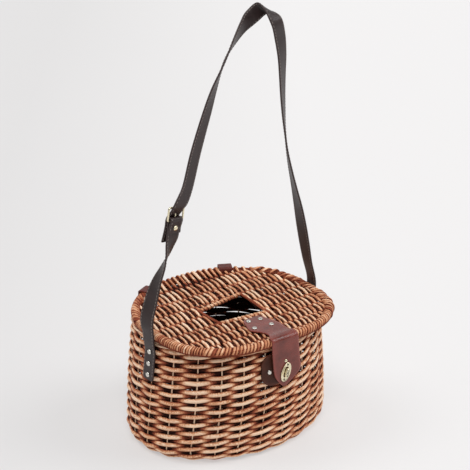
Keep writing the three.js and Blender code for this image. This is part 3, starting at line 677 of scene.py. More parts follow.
def dome_profile(radius, height, steps=7):
    """A rivet's head: a straight lip, then a dome that ends in a small flat."""
    lip = height * DOME_LIP
    angles = np.linspace(0, math.pi / 2 * DOME_TURN, steps)
    dome = [(radius * DOME_WIDTH * math.cos(a), lip + (height - lip) * math.sin(a)) for a in angles]
    return [(radius * DOME_FOOT, 0.0), *((radius, lip * share) for share in DOME_LIP_RINGS), *dome]


def add_node(tree, kind, inputs=None, stops=None, **settings):
    """Adds a node with its settings; a socket among the inputs is linked, and stops fill a colour ramp."""
    made = tree.nodes.new(kind)
    for name, value in settings.items():
        setattr(made, name, value)
    for name, value in (inputs or {}).items():
        if isinstance(value, bpy.types.NodeSocket):
            tree.links.new(value, made.inputs[name])
        else:
            made.inputs[name].default_value = value
    if stops:
        elements = made.color_ramp.elements
        while len(elements) < len(stops):
            elements.new(0.5)
        for element, (position, colour) in zip(elements, stops):
            element.position = position
            element.color = with_alpha(colour)
    return made


def new_material(name):
    """An empty material with its shader and output."""
    material = bpy.data.materials.new(name)
    material.use_nodes = True
    tree = material.node_tree
    tree.nodes.clear()
    shader = add_node(tree, "ShaderNodeBsdfPrincipled")
    add_node(tree, "ShaderNodeOutputMaterial", {"Surface": shader.outputs["BSDF"]})
    return material, tree, shader


# Willow: millimetres of rod to one unit of the streaks' pattern, units round a rod, units from tone to tone,
# cells of the pattern in a unit, and blotches of stain in a metre
STREAK_UNIT = 62.5
STREAK_AROUND = 4.5
STREAK_APART = 37.0
STREAK_CELLS = 1.6
BLOTCHES = 85.0
# Shares of the blotches, the streaks and the rod's own tone in its lightness
BLOTCH_SHARE = 0.3
BLOTCH_MIDDLE = 0.65
STREAK_SHARE = 1.1
TONE_SHARE = 0.36
# Places of the four colours on the scale of lightness, from the dark back, which is painted shade, to the rubbed
# crest, which also carries a painted highlight
WILLOW_STOPS = (0.0, 0.46, 0.74, 1.0)


def willow_material(colours, name, redness, gloss):
    """Steamed willow rods, woven damp, stained and varnished: pale where the crests are rubbed and where a
    highlight is painted, red-brown on the stained flanks, which also carry painted shade, dark at the back in
    painted shade, with fine streaks along each rod and a soft varnish gloss."""
    material, tree, shader = new_material(name)
    # The crest mark holds each rod's lightness: rubbing, painted light and painted shade
    crest, tone, run, around = (
        add_node(tree, "ShaderNodeAttribute", attribute_name=mark).outputs["Fac"]
        for mark in ("crest", "tone", "run", "around")
    )
    # Streaks of bark and knife work, about 40 mm long and 2 mm wide
    along, across, apart = (
        add_node(tree, "ShaderNodeMath", {0: value, 1: scale}, operation="MULTIPLY").outputs[0]
        for value, scale in ((run, 1 / STREAK_UNIT), (around, STREAK_AROUND), (tone, STREAK_APART))
    )
    place = add_node(tree, "ShaderNodeCombineXYZ", {"X": along, "Y": across, "Z": apart})
    streak = add_node(
        tree, "ShaderNodeTexNoise",
        {"Vector": place.outputs[0], "Scale": STREAK_CELLS, "Detail": 3.0, "Roughness": 0.6},
    ).outputs["Fac"]
    # Blotches of stain, about 12 mm across
    where = add_node(tree, "ShaderNodeTexCoord")
    blotch = add_node(
        tree, "ShaderNodeTexNoise", {"Vector": where.outputs["Object"], "Scale": BLOTCHES, "Detail": 2.0}
    ).outputs["Fac"]
    uneven = add_node(
        tree, "ShaderNodeMath", {0: blotch, 1: BLOTCH_SHARE, 2: streak}, operation="MULTIPLY_ADD"
    ).outputs[0]
    shift = add_node(tree, "ShaderNodeMath", {0: uneven, 1: BLOTCH_MIDDLE}, operation="SUBTRACT").outputs[0]
    marked = add_node(
        tree, "ShaderNodeMath", {0: shift, 1: STREAK_SHARE, 2: crest}, operation="MULTIPLY_ADD"
    ).outputs[0]
    toned = add_node(
        tree, "ShaderNodeMath", {0: tone, 1: TONE_SHARE, 2: -TONE_SHARE / 2 - redness}, operation="MULTIPLY_ADD"
    ).outputs[0]
    level = add_node(tree, "ShaderNodeMath", {0: marked, 1: toned}, operation="ADD").outputs[0]
    shades = (colours.willow_dark, colours.willow_red, colours.willow_tan, colours.willow_pale)
    ramp = add_node(tree, "ShaderNodeValToRGB", {"Fac": level}, stops=list(zip(WILLOW_STOPS, shades)))
    bump = add_node(tree, "ShaderNodeBump", {"Height": streak, "Strength": 0.35, "Distance": 0.0006})
    tree.links.new(ramp.outputs["Color"], shader.inputs["Base Color"])
    tree.links.new(bump.outputs["Normal"], shader.inputs["Normal"])
    # Varnish lies thin in the crevices, which are matt
    roughness = add_node(
        tree, "ShaderNodeMapRange",
        {"Value": level, "From Min": 0.15, "From Max": 0.8, "To Min": 0.85, "To Max": gloss},
    )
    tree.links.new(roughness.outputs["Result"], shader.inputs["Roughness"])
    shader.inputs["IOR"].default_value = 1.5
    shader.inputs["Specular IOR Level"].default_value = 0.12
    return material


# Leather: size of a grain cell in millimetres, clouds of dye in a metre, lightness of the dark clouds, and how
# far the gloss varies
GRAIN = 1.6
CLOUDS = 55.0
DARK_CLOUD = 0.62
GLOSS_SPREAD = 0.1


def leather_material(name, colour, lift, gloss, specular):
    """Vegetable-tanned leather, dyed through and waxed: a pebbled grain, paler worn spots and cut edges, and a
    broad soft gloss."""
    material, tree, shader = new_material(name)
    where = add_node(tree, "ShaderNodeTexCoord")
    edge = add_node(tree, "ShaderNodeAttribute", attribute_name="edge")
    # Grain cells; drawn coarser than life, because half a millimetre is less than a pixel here
    grain = add_node(
        tree, "ShaderNodeTexVoronoi", {"Vector": where.outputs["Object"], "Scale": 1 / (GRAIN * MM)},
        feature="DISTANCE_TO_EDGE",
    )
    # Clouds of dye, about 18 mm across
    cloud = add_node(
        tree, "ShaderNodeTexNoise",
        {"Vector": where.outputs["Object"], "Scale": CLOUDS, "Detail": 4.0, "Roughness": 0.6},
    ).outputs["Fac"]
    pale = scaled(colour, lift)
    ramp = add_node(
        tree, "ShaderNodeValToRGB", {"Fac": cloud},
        stops=[(0.25, scaled(colour, DARK_CLOUD)), (0.5, colour), (0.8, pale)],
    )
    worn = add_node(
        tree, "ShaderNodeMix", {0: edge.outputs["Fac"], 6: ramp.outputs["Color"], 7: with_alpha(pale)},
        data_type="RGBA", blend_type="MIX",
    )
    tree.links.new(worn.outputs[2], shader.inputs["Base Color"])
    height = add_node(
        tree, "ShaderNodeMath", {0: grain.outputs["Distance"], 1: 6.0, 2: cloud}, operation="MULTIPLY_ADD"
    )
    bump = add_node(tree, "ShaderNodeBump", {"Height": height.outputs[0], "Strength": 0.12, "Distance": 0.0008})
    tree.links.new(bump.outputs["Normal"], shader.inputs["Normal"])
    roughness = add_node(
        tree, "ShaderNodeMapRange",
        {"Value": cloud, "To Min": gloss - GLOSS_SPREAD, "To Max": gloss + GLOSS_SPREAD},
    )
    tree.links.new(roughness.outputs["Result"], shader.inputs["Roughness"])
    shader.inputs["IOR"].default_value = 1.5
    shader.inputs["Specular IOR Level"].default_value = specular
    return material


# Metal: rubbing marks in a metre, lightness of the tarnish, and how far the gloss is better and worse
RUB_MARKS = 500.0
TARNISH = 0.72
SMOOTHER = 0.06
ROUGHER = 0.1


def metal_material(name, colour, roughness):
    """Plated or solid metal, polished on a wheel: bright, with faint rubbing marks and a slight tarnish."""
    material, tree, shader = new_material(name)
    where = add_node(tree, "ShaderNodeTexCoord")
    # Rubbing marks, about 2 mm apart
    rub = add_node(
        tree, "ShaderNodeTexNoise", {"Vector": where.outputs["Object"], "Scale": RUB_MARKS, "Detail": 3.0}
    ).outputs["Fac"]
    ramp = add_node(
        tree, "ShaderNodeValToRGB", {"Fac": rub}, stops=[(0.2, scaled(colour, TARNISH)), (0.6, colour)]
    )
    tree.links.new(ramp.outputs["Color"], shader.inputs["Base Color"])
    shine = add_node(
        tree, "ShaderNodeMapRange", {"Value": rub, "To Min": roughness - SMOOTHER, "To Max": roughness + ROUGHER}
    )
    tree.links.new(shine.outputs["Result"], shader.inputs["Roughness"])
    shader.inputs["Metallic"].default_value = 1.0
    return material


# Thread: scale of the twist's bands in a metre, and lightness between the plies
TWIST = 400.0
BETWEEN_PLIES = 0.7


def thread_material(colour):
    """Waxed linen thread, twisted from two plies: matt, with the twist as fine slanting bands."""
    material, tree, shader = new_material("waxed_linen_thread")
    where = add_node(tree, "ShaderNodeTexCoord")
    # Plies of the twist, about 0.8 mm apart
    twist = add_node(
        tree, "ShaderNodeTexWave", {"Vector": where.outputs["Object"], "Scale": TWIST}, bands_direction="DIAGONAL"
    )
    ramp = add_node(
        tree, "ShaderNodeValToRGB", {"Fac": twist.outputs["Fac"]},
        stops=[(0.0, scaled(colour, BETWEEN_PLIES)), (1.0, colour)],
    )
    tree.links.new(ramp.outputs["Color"], shader.inputs["Base Color"])
    shader.inputs["Roughness"].default_value = 0.75
    return material


# Paper: places across the picture, in metres, between which its painted light grows, its painted light on the
# left, and the strength of the glow painted into it as emission, which fills its shadows
PAPER_LEFT = -0.5
PAPER_RIGHT = 0.2
PAPER_LEFT_PAINTED_LIGHT = 0.86
PAPER_PAINTED_GLOW = 1.4
# Cells of its tooth in a metre, and their share in its light
TOOTH = 3.0
TOOTH_SHARE = 0.06


def paper_material(colour):
    """Seamless studio paper, calendered: matt, with the faintest tooth, a glow painted in as emission that fills
    its shadows, and painted shade that grows towards the left of the picture."""
    material, tree, shader = new_material("seamless_paper")
    where = add_node(tree, "ShaderNodeTexCoord")
    turn = math.radians(CAMERA_AZIMUTH)
    side = add_node(
        tree, "ShaderNodeVectorMath", {0: where.outputs["Object"], 1: (math.cos(turn), -math.sin(turn), 0.0)},
        operation="DOT_PRODUCT",
    )
    light = add_node(
        tree, "ShaderNodeMapRange",
        {"Value": side.outputs["Value"], "From Min": PAPER_LEFT, "From Max": PAPER_RIGHT},
    )
    # Tooth, about 300 mm across; finer tooth would not show
    tooth = add_node(tree, "ShaderNodeTexNoise", {"Vector": where.outputs["Object"], "Scale": TOOTH, "Detail": 2.0})
    shade = add_node(
        tree, "ShaderNodeMath", {0: tooth.outputs["Fac"], 1: TOOTH_SHARE, 2: light.outputs["Result"]},
        operation="MULTIPLY_ADD",
    )
    ramp = add_node(
        tree, "ShaderNodeValToRGB", {"Fac": shade.outputs[0]},
        stops=[(0.0, scaled(colour, PAPER_LEFT_PAINTED_LIGHT)), (1.0, colour)],
    )
    # Painted light: the paper glows in its own colour and fills the shadows on it, though it is no lamp
    for socket in ("Base Color", "Emission Color"):
        tree.links.new(ramp.outputs["Color"], shader.inputs[socket])
    shader.inputs["Emission Strength"].default_value = PAPER_PAINTED_GLOW
    shader.inputs["Roughness"].default_value = 0.9
    return material


MATERIALS = {}


def finish(name):
    """The material of that name, made at its first use from the colours in the panel."""
    if name not in MATERIALS:
        colours = bpy.context.scene.basket_colours
        maker, *details = {
            "willow": (willow_material, colours, "steamed_willow_woven_varnished", 0.0, 0.42),
            "lid_willow": (willow_material, colours, "steamed_willow_lid_varnished", 0.05, 0.44),
            "cane": (willow_material, colours, "split_cane_wrapped_varnished", 0.17, 0.4),
            "strap": (leather_material, "bridle_leather_dyed_waxed", colours.strap, 1.35, 0.42, 0.5),
            "latch": (leather_material, "vegetable_tanned_leather_burgundy", colours.latch, 1.4, 0.25, 0.42),
            "hinge": (leather_material, "vegetable_tanned_leather_dark", scaled(colours.latch, 0.6), 1.4, 0.45, 0.2),
            "patch": (leather_material, "vegetable_tanned_leather_brown_black", colours.patch, 1.4, 0.5, 0.2),
            "thread": (thread_material, colours.thread),
            "brass": (metal_material, "brass_polished", colours.brass, 0.24),
            # Pins drawn almost black: painted shade of the screw holes they sit in
            "pin": (metal_material, "brass_tarnished", scaled(colours.brass, 0.12), 0.5),
            "nickel": (metal_material, "nickel_plate_polished", colours.nickel, 0.18),
            "paper": (paper_material, colours.floor),
        }[name]
        MATERIALS[name] = maker(*details)
    return MATERIALS[name]


# How nearly straight a rod lies between its turns; 1 would be quite straight
STRAIGHTNESS = 0.96


def slack(turns):
    """Swing of a rod from 1 in front to -1 behind, nearly straight between the turns."""
    return np.arcsin(STRAIGHTNESS * np.cos(math.pi * turns)) / math.asin(STRAIGHTNESS)


def eased(value):
    """Smooth step from 0 to 1."""
    value = np.clip(value, 0, 1)
    return value * value * (3 - 2 * value)


# Weave of the wall, in millimetres: how far a pass stands out of the wall's face, how far a weaver swings past
# the stake behind it, and how far the weavers and the stakes run on into the rim
PASS_PROUD = 0.2
SWING_PAST_STAKE = 2.4
WEAVER_RUN_ON = 3.0
STAKE_RUN_ON = 4.0
STAKE_FOOT = 2.5
STAKE_HALF_DEPTH = 1.3
# Share by which a stake grows thicker and thinner, and the climb in which it does so by one radian
STAKE_BULGE = 0.1
STAKE_BULGE_RUN = 23.0
# Samples of a weaver in a bay and of a stake, and the climb over which the wall's upward direction is taken
BAY_STEPS = 10
STAKE_STEPS = 48
NUDGE = 2.0
# A weaver is taller by this share behind a stake, where it lies loose
TALLER_BEHIND = 0.45
# Uneven hand work: spread of a weaver's climb and height at each stake, of its tone there and from rod to
# rod, and of a stake's place in radians
CLIMB_SPREAD = 0.55
HEIGHT_SPREAD = 0.06
PASS_TONE_SPREAD = 0.32
ROD_TONE_SPREAD = 0.1
STAKE_SPREAD = 0.004
# Lightness of a weaver behind a stake, which is painted shade, what it gains in front, partly its rubbed crest
# and partly painted light, the swing at which that starts and ends, and what its upper and lower sides and its
# inner side lose to painted shade
SHADED_BEHIND = 0.02
GAIN_IN_FRONT = 0.94
GAIN_START = -0.8
GAIN_END = 0.4
CREVICE_SHADE = 0.5
INSIDE_SHADE = 0.9
STAKE_TONE = 0.75
STAKE_CREST = 0.86


def wander(chance, spread, knots, travel):
    """Chance values at the knots, and straight between them."""
    return np.interp(travel, knots, chance.normal(0, spread, len(knots)))


def weave_wall(sizes, chance):
    """The wall in slanting rows: each weaver passes in front of one stake and behind the next and climbs in
    every bay, and the passes of neighbouring stakes lie almost level."""
    stakes = sizes.stakes
    turns = stake_turns(stakes)
    half_thick = sizes.weaver_thickness / MM / 2
    half_high = sizes.weaver_height / MM / 2
    pitch = sizes.pass_pitch / MM
    drop = pitch * PASSES_LOST_IN_A_LAP / stakes
    rise = pitch / 2 - drop
    top = FOOT_ARC + WALL_TOP - FOOT_ROUND
    front = half_thick - PASS_PROUD
    back = front + sizes.stake_width / MM + SWING_PAST_STAKE
    weavers, uprights = Skein(), Skein()
    for j in range(stakes):
        lowest = PASS_CLIMB - drop * (j - PASS_STAKE)
        lowest -= pitch * math.floor((lowest - LOWEST_PASS) / pitch)
        if lowest >= LOWEST_PASS + 2 * rise:
            continue
        bays = 2 * math.ceil((top + WEAVER_RUN_ON - lowest) / rise / 2)
        travel = np.arange(bays * BAY_STEPS + 1) / BAY_STEPS - 1.0
        knots = np.arange(-1, bays)
        swing = slack(travel)
        turn = np.interp((j + travel) % stakes, np.arange(stakes + 1), turns)
        climb = lowest + rise * travel
        strayed = climb + wander(chance, CLIMB_SPREAD, knots, travel) * np.clip(travel, 0, 1)
        path = wall_place(strayed, (front + back) / 2 - (back - front) / 2 * swing, turn)
        up = unit(wall_place(climb + NUDGE, WALL / 2, turn) - wall_place(climb - NUDGE, WALL / 2, turn))
        height = half_high * (1 + TALLER_BEHIND * np.clip(-swing, 0, 1))
        height = height * (1 + wander(chance, HEIGHT_SPREAD, knots, travel))
        own_tone = 0.5 + chance.normal(0, ROD_TONE_SPREAD)
        tone = np.clip(own_tone + wander(chance, PASS_TONE_SPREAD, knots, travel), 0, 1)
        # Painted light and shade: pale in front of a stake, dark behind it
        crest = SHADED_BEHIND + GAIN_IN_FRONT * eased((swing - GAIN_START) / (GAIN_END - GAIN_START))
        add_rod(weavers, path, up, half_thick, height, 8, False, tone, crest, CREVICE_SHADE, INSIDE_SHADE)
    climbs = np.linspace(STAKE_FOOT, top + STAKE_RUN_ON, STAKE_STEPS)
    for j in range(stakes):
        turn = turns[j] + chance.normal(0, STAKE_SPREAD)
        path = wall_place(climbs, WALL / 2, turn)
        out = unit(wall_place(climbs, 0.0, turn) - wall_place(climbs, WALL, turn))
        half = sizes.stake_width / MM / 2 * (1 + STAKE_BULGE * np.sin(climbs / STAKE_BULGE_RUN + j))
        tone = STAKE_TONE + chance.normal(0, ROD_TONE_SPREAD)
        add_rod(uprights, path, out, half, STAKE_HALF_DEPTH, 8, False, tone, STAKE_CREST)
    weavers.piece("body_weavers", finish("willow"), "willow", ["body_wall"])
    uprights.piece("body_stakes", finish("willow"), "willow", ["body_wall"])


# Rim: strands of its rope, their half thickness, the depth and height of the rope's middle, how far the
# strands swing round it, and the depth and height of the plain rods that fill the band behind it
RIM_STRANDS = 4
RIM_STRAND_HALF = 1.75
RIM_DEPTH = 4.9
RIM_Z = 183.7
RIM_SWING_IN = 3.0
RIM_SWING_UP = 2.9
RIM_STEPS_IN_A_BAY = 14
RIM_FILLERS = ((8.3, 177.6), (8.3, 181.5), (8.3, 186.6), (4.9, 183.7), (4.9, 179.4))
RIM_FILLER_HALF = 2.1
RIM_FILLER_TONE = 0.3
RIM_FILLER_CREST = 0.3
# How far a strand strays up and down, and how often in a lap; its tone, with its spread and waves in a lap; and
# its lightness, with what it gains where it swings out, painted light there and painted shade where it swings in
RIM_STRAY = 0.25
RIM_STRAYS = 5
RIM_TONE = 0.6
RIM_TONE_SPREAD = 0.25
RIM_TONE_WAVES = 4
RIM_CREST = 0.66
RIM_LIGHT_OUTSIDE = 0.22


def wale_rim(sizes):
    """The top of the wall: thin rods laid round each other like a long slack rope."""
    rods = Skein()
    count = sizes.stakes * RIM_STEPS_IN_A_BAY
    turn = 2 * math.pi * np.arange(count) / count
    up = np.tile(UPWARD, (count, 1))
    lie = FOOT_ARC + RIM_Z - FOOT_ROUND
    for strand in range(RIM_STRANDS):
        phase = turn * sizes.stakes / RIM_STRANDS + 2 * math.pi * strand / RIM_STRANDS
        path = wall_place(lie, RIM_DEPTH - RIM_SWING_IN * np.cos(phase), turn)
        stray = RIM_STRAY * np.sin(turn * (RIM_STRAYS + strand) + strand)
        path[:, 2] = RIM_Z + RIM_SWING_UP * np.sin(phase) + stray
        tone = RIM_TONE + RIM_TONE_SPREAD * np.sin(turn * RIM_TONE_WAVES + strand * 2)
        crest = RIM_CREST + RIM_LIGHT_OUTSIDE * np.cos(phase)
        add_rod(rods, path, up, RIM_STRAND_HALF, RIM_STRAND_HALF, 8, True, tone, crest)
    for depth, z in RIM_FILLERS:
        path = wall_place(FOOT_ARC + z - FOOT_ROUND, depth, turn)
        add_rod(rods, path, up, RIM_FILLER_HALF, RIM_FILLER_HALF, 8, True, RIM_FILLER_TONE, RIM_FILLER_CREST)
    rods.piece("rim_wale", finish("willow"), "willow", ["rim"])


def inside_oval(shape, x, y):
    """Which places lie inside an oval."""
    half_length, half_depth, front, back = shape
    power = np.where(y < 0, front, back)
    return (np.abs(x) / half_length) ** power + (np.abs(y) / half_depth) ** power < 1


def inside_corners(corners, x, y):
    """Which places lie inside the outline through these corners."""
    ahead = np.roll(corners, -1, axis=0) - corners
    sense = np.array([a[0] * (y - c[1]) - a[1] * (x - c[0]) for a, c in zip(ahead, corners)])
    return np.all(sense > 0, axis=0) | np.all(sense < 0, axis=0)


def unbroken(keep, least):
    """First index of each run of kept places that is long enough, and the index after its last."""
    edges = np.flatnonzero(np.diff(np.concatenate([[0], keep.astype(int), [0]])))
    return [(a, b) for a, b in zip(edges[::2], edges[1::2]) if b - a >= least]


def grown(corners, margin):
    """The same outline with its corners moved out from the middle."""
    middle = corners.mean(axis=0)
    return middle + (corners - middle) * (1 + margin / np.linalg.norm(corners - middle, axis=1, keepdims=True))


def back_line(x):
    """Depth of the middle of the lid's border along its back."""
    half_length, half_depth, _, power = lid_shape(BORDER_WIDTH / 2)
    return half_depth * (1 - (abs(x) / half_length) ** power) ** (1 / power)


class PanelWeave(NamedTuple):
    """Sizes of a flat weave: height of its middle, step from weaver to weaver, half sizes of its rods, and how
    far the weavers rise over a band."""

    level: float
    step: float
    half_width: float
    half_thick: float
    stake_half: float
    lift: float


# Bands of a flat weave: their rods, samples and shortest run, how far they bend and in what length by one
# radian, their flatness, the spread of their tone and their lightness, kept low: dark stain, and painted shade
# under the weavers
BAND_RODS = 4
BAND_STEP = 4.0
BAND_LEAST = 4
BAND_BEND = 0.5
BAND_BEND_RUN = 31.0
BAND_FLATNESS = 0.85
BAND_TONE_SPREAD = 0.15
BAND_SHADED_CREST = 0.1
# Weavers of a flat weave: their samples and shortest run, the bay after the last band, and the spread of their
# place and width at each band and of their tone from rod to rod
WEAVER_STEP = 2.1
WEAVER_LEAST = 5
LAST_BAY = 33.0
PLACE_SPREAD = 0.95
WIDTH_SPREAD = 0.17
WEAVER_TONE_SPREAD = 0.18
# Lightness of a weaver below a band, which is painted shade, what it gains above it, partly its rubbed crest
# and partly painted light, the swing at which that starts and ends, and what its sides lose to painted shade
SHADED_BELOW = -0.2
GAIN_ABOVE = 1.15
GAIN_ABOVE_START = -0.75
GAIN_ABOVE_END = 0.35
SHADE_BETWEEN = 0.42
# A lid weaver that goes over the border: the part of its last bay in which it climbs, the samples from the end
# in which that bay lies, how close it lies to the border's top and side, and its turn round it in degrees
OVER_CLIMB = 0.65
OVER_SAMPLES = 30
OVER_TOP_EASE = 0.1
OVER_SIDE_EASE = 0.2
OVER_TURN = 130.0
OVER_STEPS = 8
OVER_CREST = 0.84


def over_border(path, climb, end_x, weave):
    """The path of a lid weaver that climbs onto the border, crosses it and goes down its outer side."""
    middle = BODY_HEIGHT + BORDER_HEIGHT / 2
    top = BORDER_HEIGHT / 2 - weave.half_thick - OVER_TOP_EASE
    line = back_line(end_x)
    path[:, 2] += climb * (middle + top - weave.level - weave.lift)
    onto = np.linspace(path[-1], (end_x, line, middle + top), 5)[1:-1]
    turn = np.radians(np.linspace(0, OVER_TURN, OVER_STEPS))
    down = np.column_stack([
        np.full(OVER_STEPS, end_x),
        line + (BORDER_WIDTH / 2 - weave.half_thick - OVER_SIDE_EASE) * np.sin(turn),
        middle + top * np.cos(turn),
    ])
    return np.vstack([path, onto, down])


def weave_panel(weavers, stakes, shape, weave, rows, chance, opening=None):
    """A flat oval of weaving: rods from side to side, and weavers from front to back that pass over one and
    under the next and shift a step to the right in each bay, round an opening."""
    half_length, half_depth = shape[:2]
    count = len(rows)

    def kept(x, y):
        keep = inside_oval(shape, x, y)
        return keep if opening is None else keep & ~inside_corners(opening, x, y)

    # Each rod from side to side is a band of thin ones
    across = np.arange(-half_length, half_length, BAND_STEP)
    for m, row in enumerate(rows):
        for n in range(BAND_RODS):
            y = row + weave.stake_half * (2 * n - BAND_RODS + 1) + BAND_BEND * np.sin(across / BAND_BEND_RUN + m)
            for a, b in unbroken(kept(across, y), BAND_LEAST):
                path = np.column_stack([across[a:b], y[a:b], np.full(b - a, weave.level)])
                up = np.tile(UPWARD, (b - a, 1))
                half_up = weave.stake_half * BAND_FLATNESS
                tone = 0.5 + chance.normal(0, BAND_TONE_SPREAD)
                add_rod(stakes, path, up, weave.stake_half, half_up, 6, False, tone, BAND_SHADED_CREST)
    y = np.arange(-half_depth, half_depth, WEAVER_STEP)
    knots = np.arange(-1, count + 1)
    spans = int(half_length / weave.step) + count
    for k in range(-spans, spans + 1):
        first = weave.step * (k - count // 2)
        end_x = first + weave.step * count
        over = opening is not None and (k + count) % 2 == 0 and OVER_BORDER[0] < end_x < OVER_BORDER[1]
        last = back_line(end_x) if over else rows[-1] + LAST_BAY
        bays = np.interp(y, [2 * rows[0] - rows[1], *rows, last], knots)
        x = first + weave.step * bays + wander(chance, PLACE_SPREAD, knots, bays)
        half_width = weave.half_width * (1 + wander(chance, WIDTH_SPREAD, knots, bays))
        swing = slack(bays + k)
        tones = 0.5 + wander(chance, PASS_TONE_SPREAD, knots, bays)
        tones = np.clip(tones + chance.normal(0, WEAVER_TONE_SPREAD), 0, 1)
        # Painted light and shade: pale over a band, dark under it
        crests = SHADED_BELOW + GAIN_ABOVE * eased((swing - GAIN_ABOVE_START) / (GAIN_ABOVE_END - GAIN_ABOVE_START))
        for a, b in unbroken(kept(x, y), WEAVER_LEAST):
            path = np.column_stack([x, y, weave.level + weave.lift * swing])[a:b]
            width, tone, crest = half_width[a:b], tones[a:b], crests[a:b]
            if over and b > len(y) - OVER_SAMPLES:
                climb = eased((bays[a:b] - count + OVER_CLIMB) / OVER_CLIMB)
                path = over_border(path, climb, end_x, weave)
                added = len(path) - len(crest)
                width, tone = (np.append(values, np.full(added, values[-1])) for values in (width, tone))
                crest = np.append(crest, np.full(added, OVER_CREST))
            along = tangents(path, False)
            up = unit(np.cross((1.0, 0.0, 0.0), along))
            side = np.cross(up, along)
            add_rod(weavers, path, side, weave.half_thick, width, 8, False, tone, crest, SHADE_BETWEEN)


# Lid: margins of the weave and of the edge rods round its opening, and how far the weave runs on under the
# border; of an edge rod, the share that runs past each corner, its bow, half sizes and samples, and its height
# over the panel's middle along the two sides and along the back and front
OPENING_MARGIN = 3.5
EDGE_MARGIN = 4.0
PANEL_UNDER_BORDER = 4.0
EDGE_PAST = 0.12
EDGE_BOW = 1.2
EDGE_HALF_WIDTH = 2.3
EDGE_HALF_HEIGHT = 2.0
EDGE_STEPS = 30
EDGE_LEVELS = (1.6, 1.2)
EDGE_TONE = 0.25
EDGE_CREST = 0.5
# Weavers' ends bound over the back and front edges: spacing and width as parts of the lid's pass pitch and of
# that spacing, turn in degrees, radius, lean, rise, half thickness and samples
BINDING_SPACING = 0.75
BINDING_COVER = 0.42
BINDING_TURN = (-25.0, 250.0)
BINDING_RADIUS = 3.0
BINDING_LEAN = 1.6
BINDING_RISE = 2.4
BINDING_HALF = 1.0
BINDING_STEPS = 14
BINDING_TONE_SPREAD = 0.2
BINDING_LIGHT_ON_TOP = 0.35


def bind_edge(edging, start, end, level, pitch, chance):
    """The weavers' ends, turned back over one edge of the opening."""
    length = np.linalg.norm(end - start)
    ahead = (end - start) / length
    normal = np.array([ahead[1], -ahead[0]])
    turn = np.radians(np.linspace(*BINDING_TURN, BINDING_STEPS))
    side = np.tile(np.append(ahead, 0.0), (BINDING_STEPS, 1))
    # Painted light: a binding is lighter on top of its turn
    crest = EDGE_CREST + BINDING_LIGHT_ON_TOP * np.clip(np.sin(turn), 0, 1)
    for n in range(int(length / pitch)):
        plan = (
            start
            + ahead * (n + 0.5) * pitch
            - normal * (BINDING_RADIUS * np.cos(turn))[:, None]
            + ahead * (BINDING_LEAN * np.sin(turn / 2))[:, None]
        )
        path = np.column_stack([plan, level + BINDING_RISE * np.sin(turn)])
        tone = np.clip(0.5 + chance.normal(0, BINDING_TONE_SPREAD), 0, 1)
        add_rod(edging, path, side, BINDING_HALF, pitch * BINDING_COVER, 6, False, tone, crest)


def weave_lid(sizes, chance):
    """The lid's panel, with rods bound round the edges of its opening."""
    weavers, stakes, edging = Skein(), Skein(), Skein()
    pitch = sizes.lid_pass_pitch / MM
    weave = PanelWeave(
        level=(PANEL_TOP + PANEL_BOTTOM) / 2, step=pitch / 2, half_width=sizes.lid_weaver_width / MM / 2,
        half_thick=1.9, stake_half=1.6, lift=1.8,
    )
    shape = lid_shape(BORDER_WIDTH - PANEL_UNDER_BORDER)
    weave_panel(weavers, stakes, shape, weave, LID_ROWS, chance, grown(HOLE_CORNERS, OPENING_MARGIN))
    bound = grown(HOLE_CORNERS, EDGE_MARGIN)
    share = np.linspace(-EDGE_PAST, 1 + EDGE_PAST, EDGE_STEPS)
    bow = EDGE_BOW * np.sin(np.clip(share, 0, 1) * math.pi)
    up = np.tile(UPWARD, (EDGE_STEPS, 1))
    slim = tapered(EDGE_STEPS)
    for i, (start, end) in enumerate(zip(bound, np.roll(bound, -1, axis=0))):
        run = end - start
        normal = np.array([run[1], -run[0]]) / np.linalg.norm(run)
        plan = start + run * share[:, None] + normal * bow[:, None]
        level = weave.level + EDGE_LEVELS[i % 2]
        path = np.column_stack([plan, np.full(EDGE_STEPS, level)])
        add_rod(
            edging, path, up, EDGE_HALF_WIDTH * slim, EDGE_HALF_HEIGHT * slim, 8, False, EDGE_TONE, EDGE_CREST
        )
        if i % 2:
            bind_edge(edging, start, end, level, pitch * BINDING_SPACING, chance)
    weavers.piece("lid_weavers", finish("lid_willow"), "willow", ["lid_panel"])
    stakes.piece("lid_stakes", finish("lid_willow"), "willow", ["lid_panel"])
    edging.piece("lid_opening_edge", finish("lid_willow"), "willow", ["lid_panel"])


# Wrapping of the lid's border by its share of the way round from the latch: start, end, spacing of the
# wraps, slant along the border in one turn, part of the spacing that a wrap covers, thickness, looseness, and
# how much darker its wraps are drawn
BORDER_ZONES = (
    (0.0, 0.13, 5.4, 15.0, 0.9, 1.5, 0.0, 0.0),
    (0.13, 0.30, 7.5, 30.0, 0.62, 1.6, 1.3, 0.0),
    (0.30, 0.36, 12.0, 34.0, 0.5, 1.7, 1.0, 0.0),
    (0.585, 0.705, 8.0, 46.0, 0.98, 1.8, 0.3, 0.13),
    (0.705, 0.865, 3.9, 5.0, 0.9, 1.25, 0.0, 0.0),
    (0.865, 1.0, 5.4, 15.0, 0.9, 1.5, 0.0, 0.0),
)


# Wraps: power of their squarish turn, its start and end in degrees, the part of a full turn at which a wrap is
# at its own place, the spread of that place, of the slant, the tone and the width, and their lightness with
# the painted light it gains on top and outside and the painted shade at their sides
WRAP_POWER = 2 / 2.5
WRAP_TURN = (-110.0, 250.0)
WRAP_STEPS = 30
WRAP_MIDDLE = 0.19
WRAP_PLACE_SPREAD = 0.04
SLANT_SPREAD = 0.3
WRAP_TONE_SPREAD = 0.28
WRAP_WIDTH_SPREAD = 0.08
WRAP_CREST = 0.78
WRAP_LIGHT_ON_TOP = 0.16
WRAP_LIGHT_OUTSIDE = 0.08
WRAP_SIDE_SHADE = 0.5
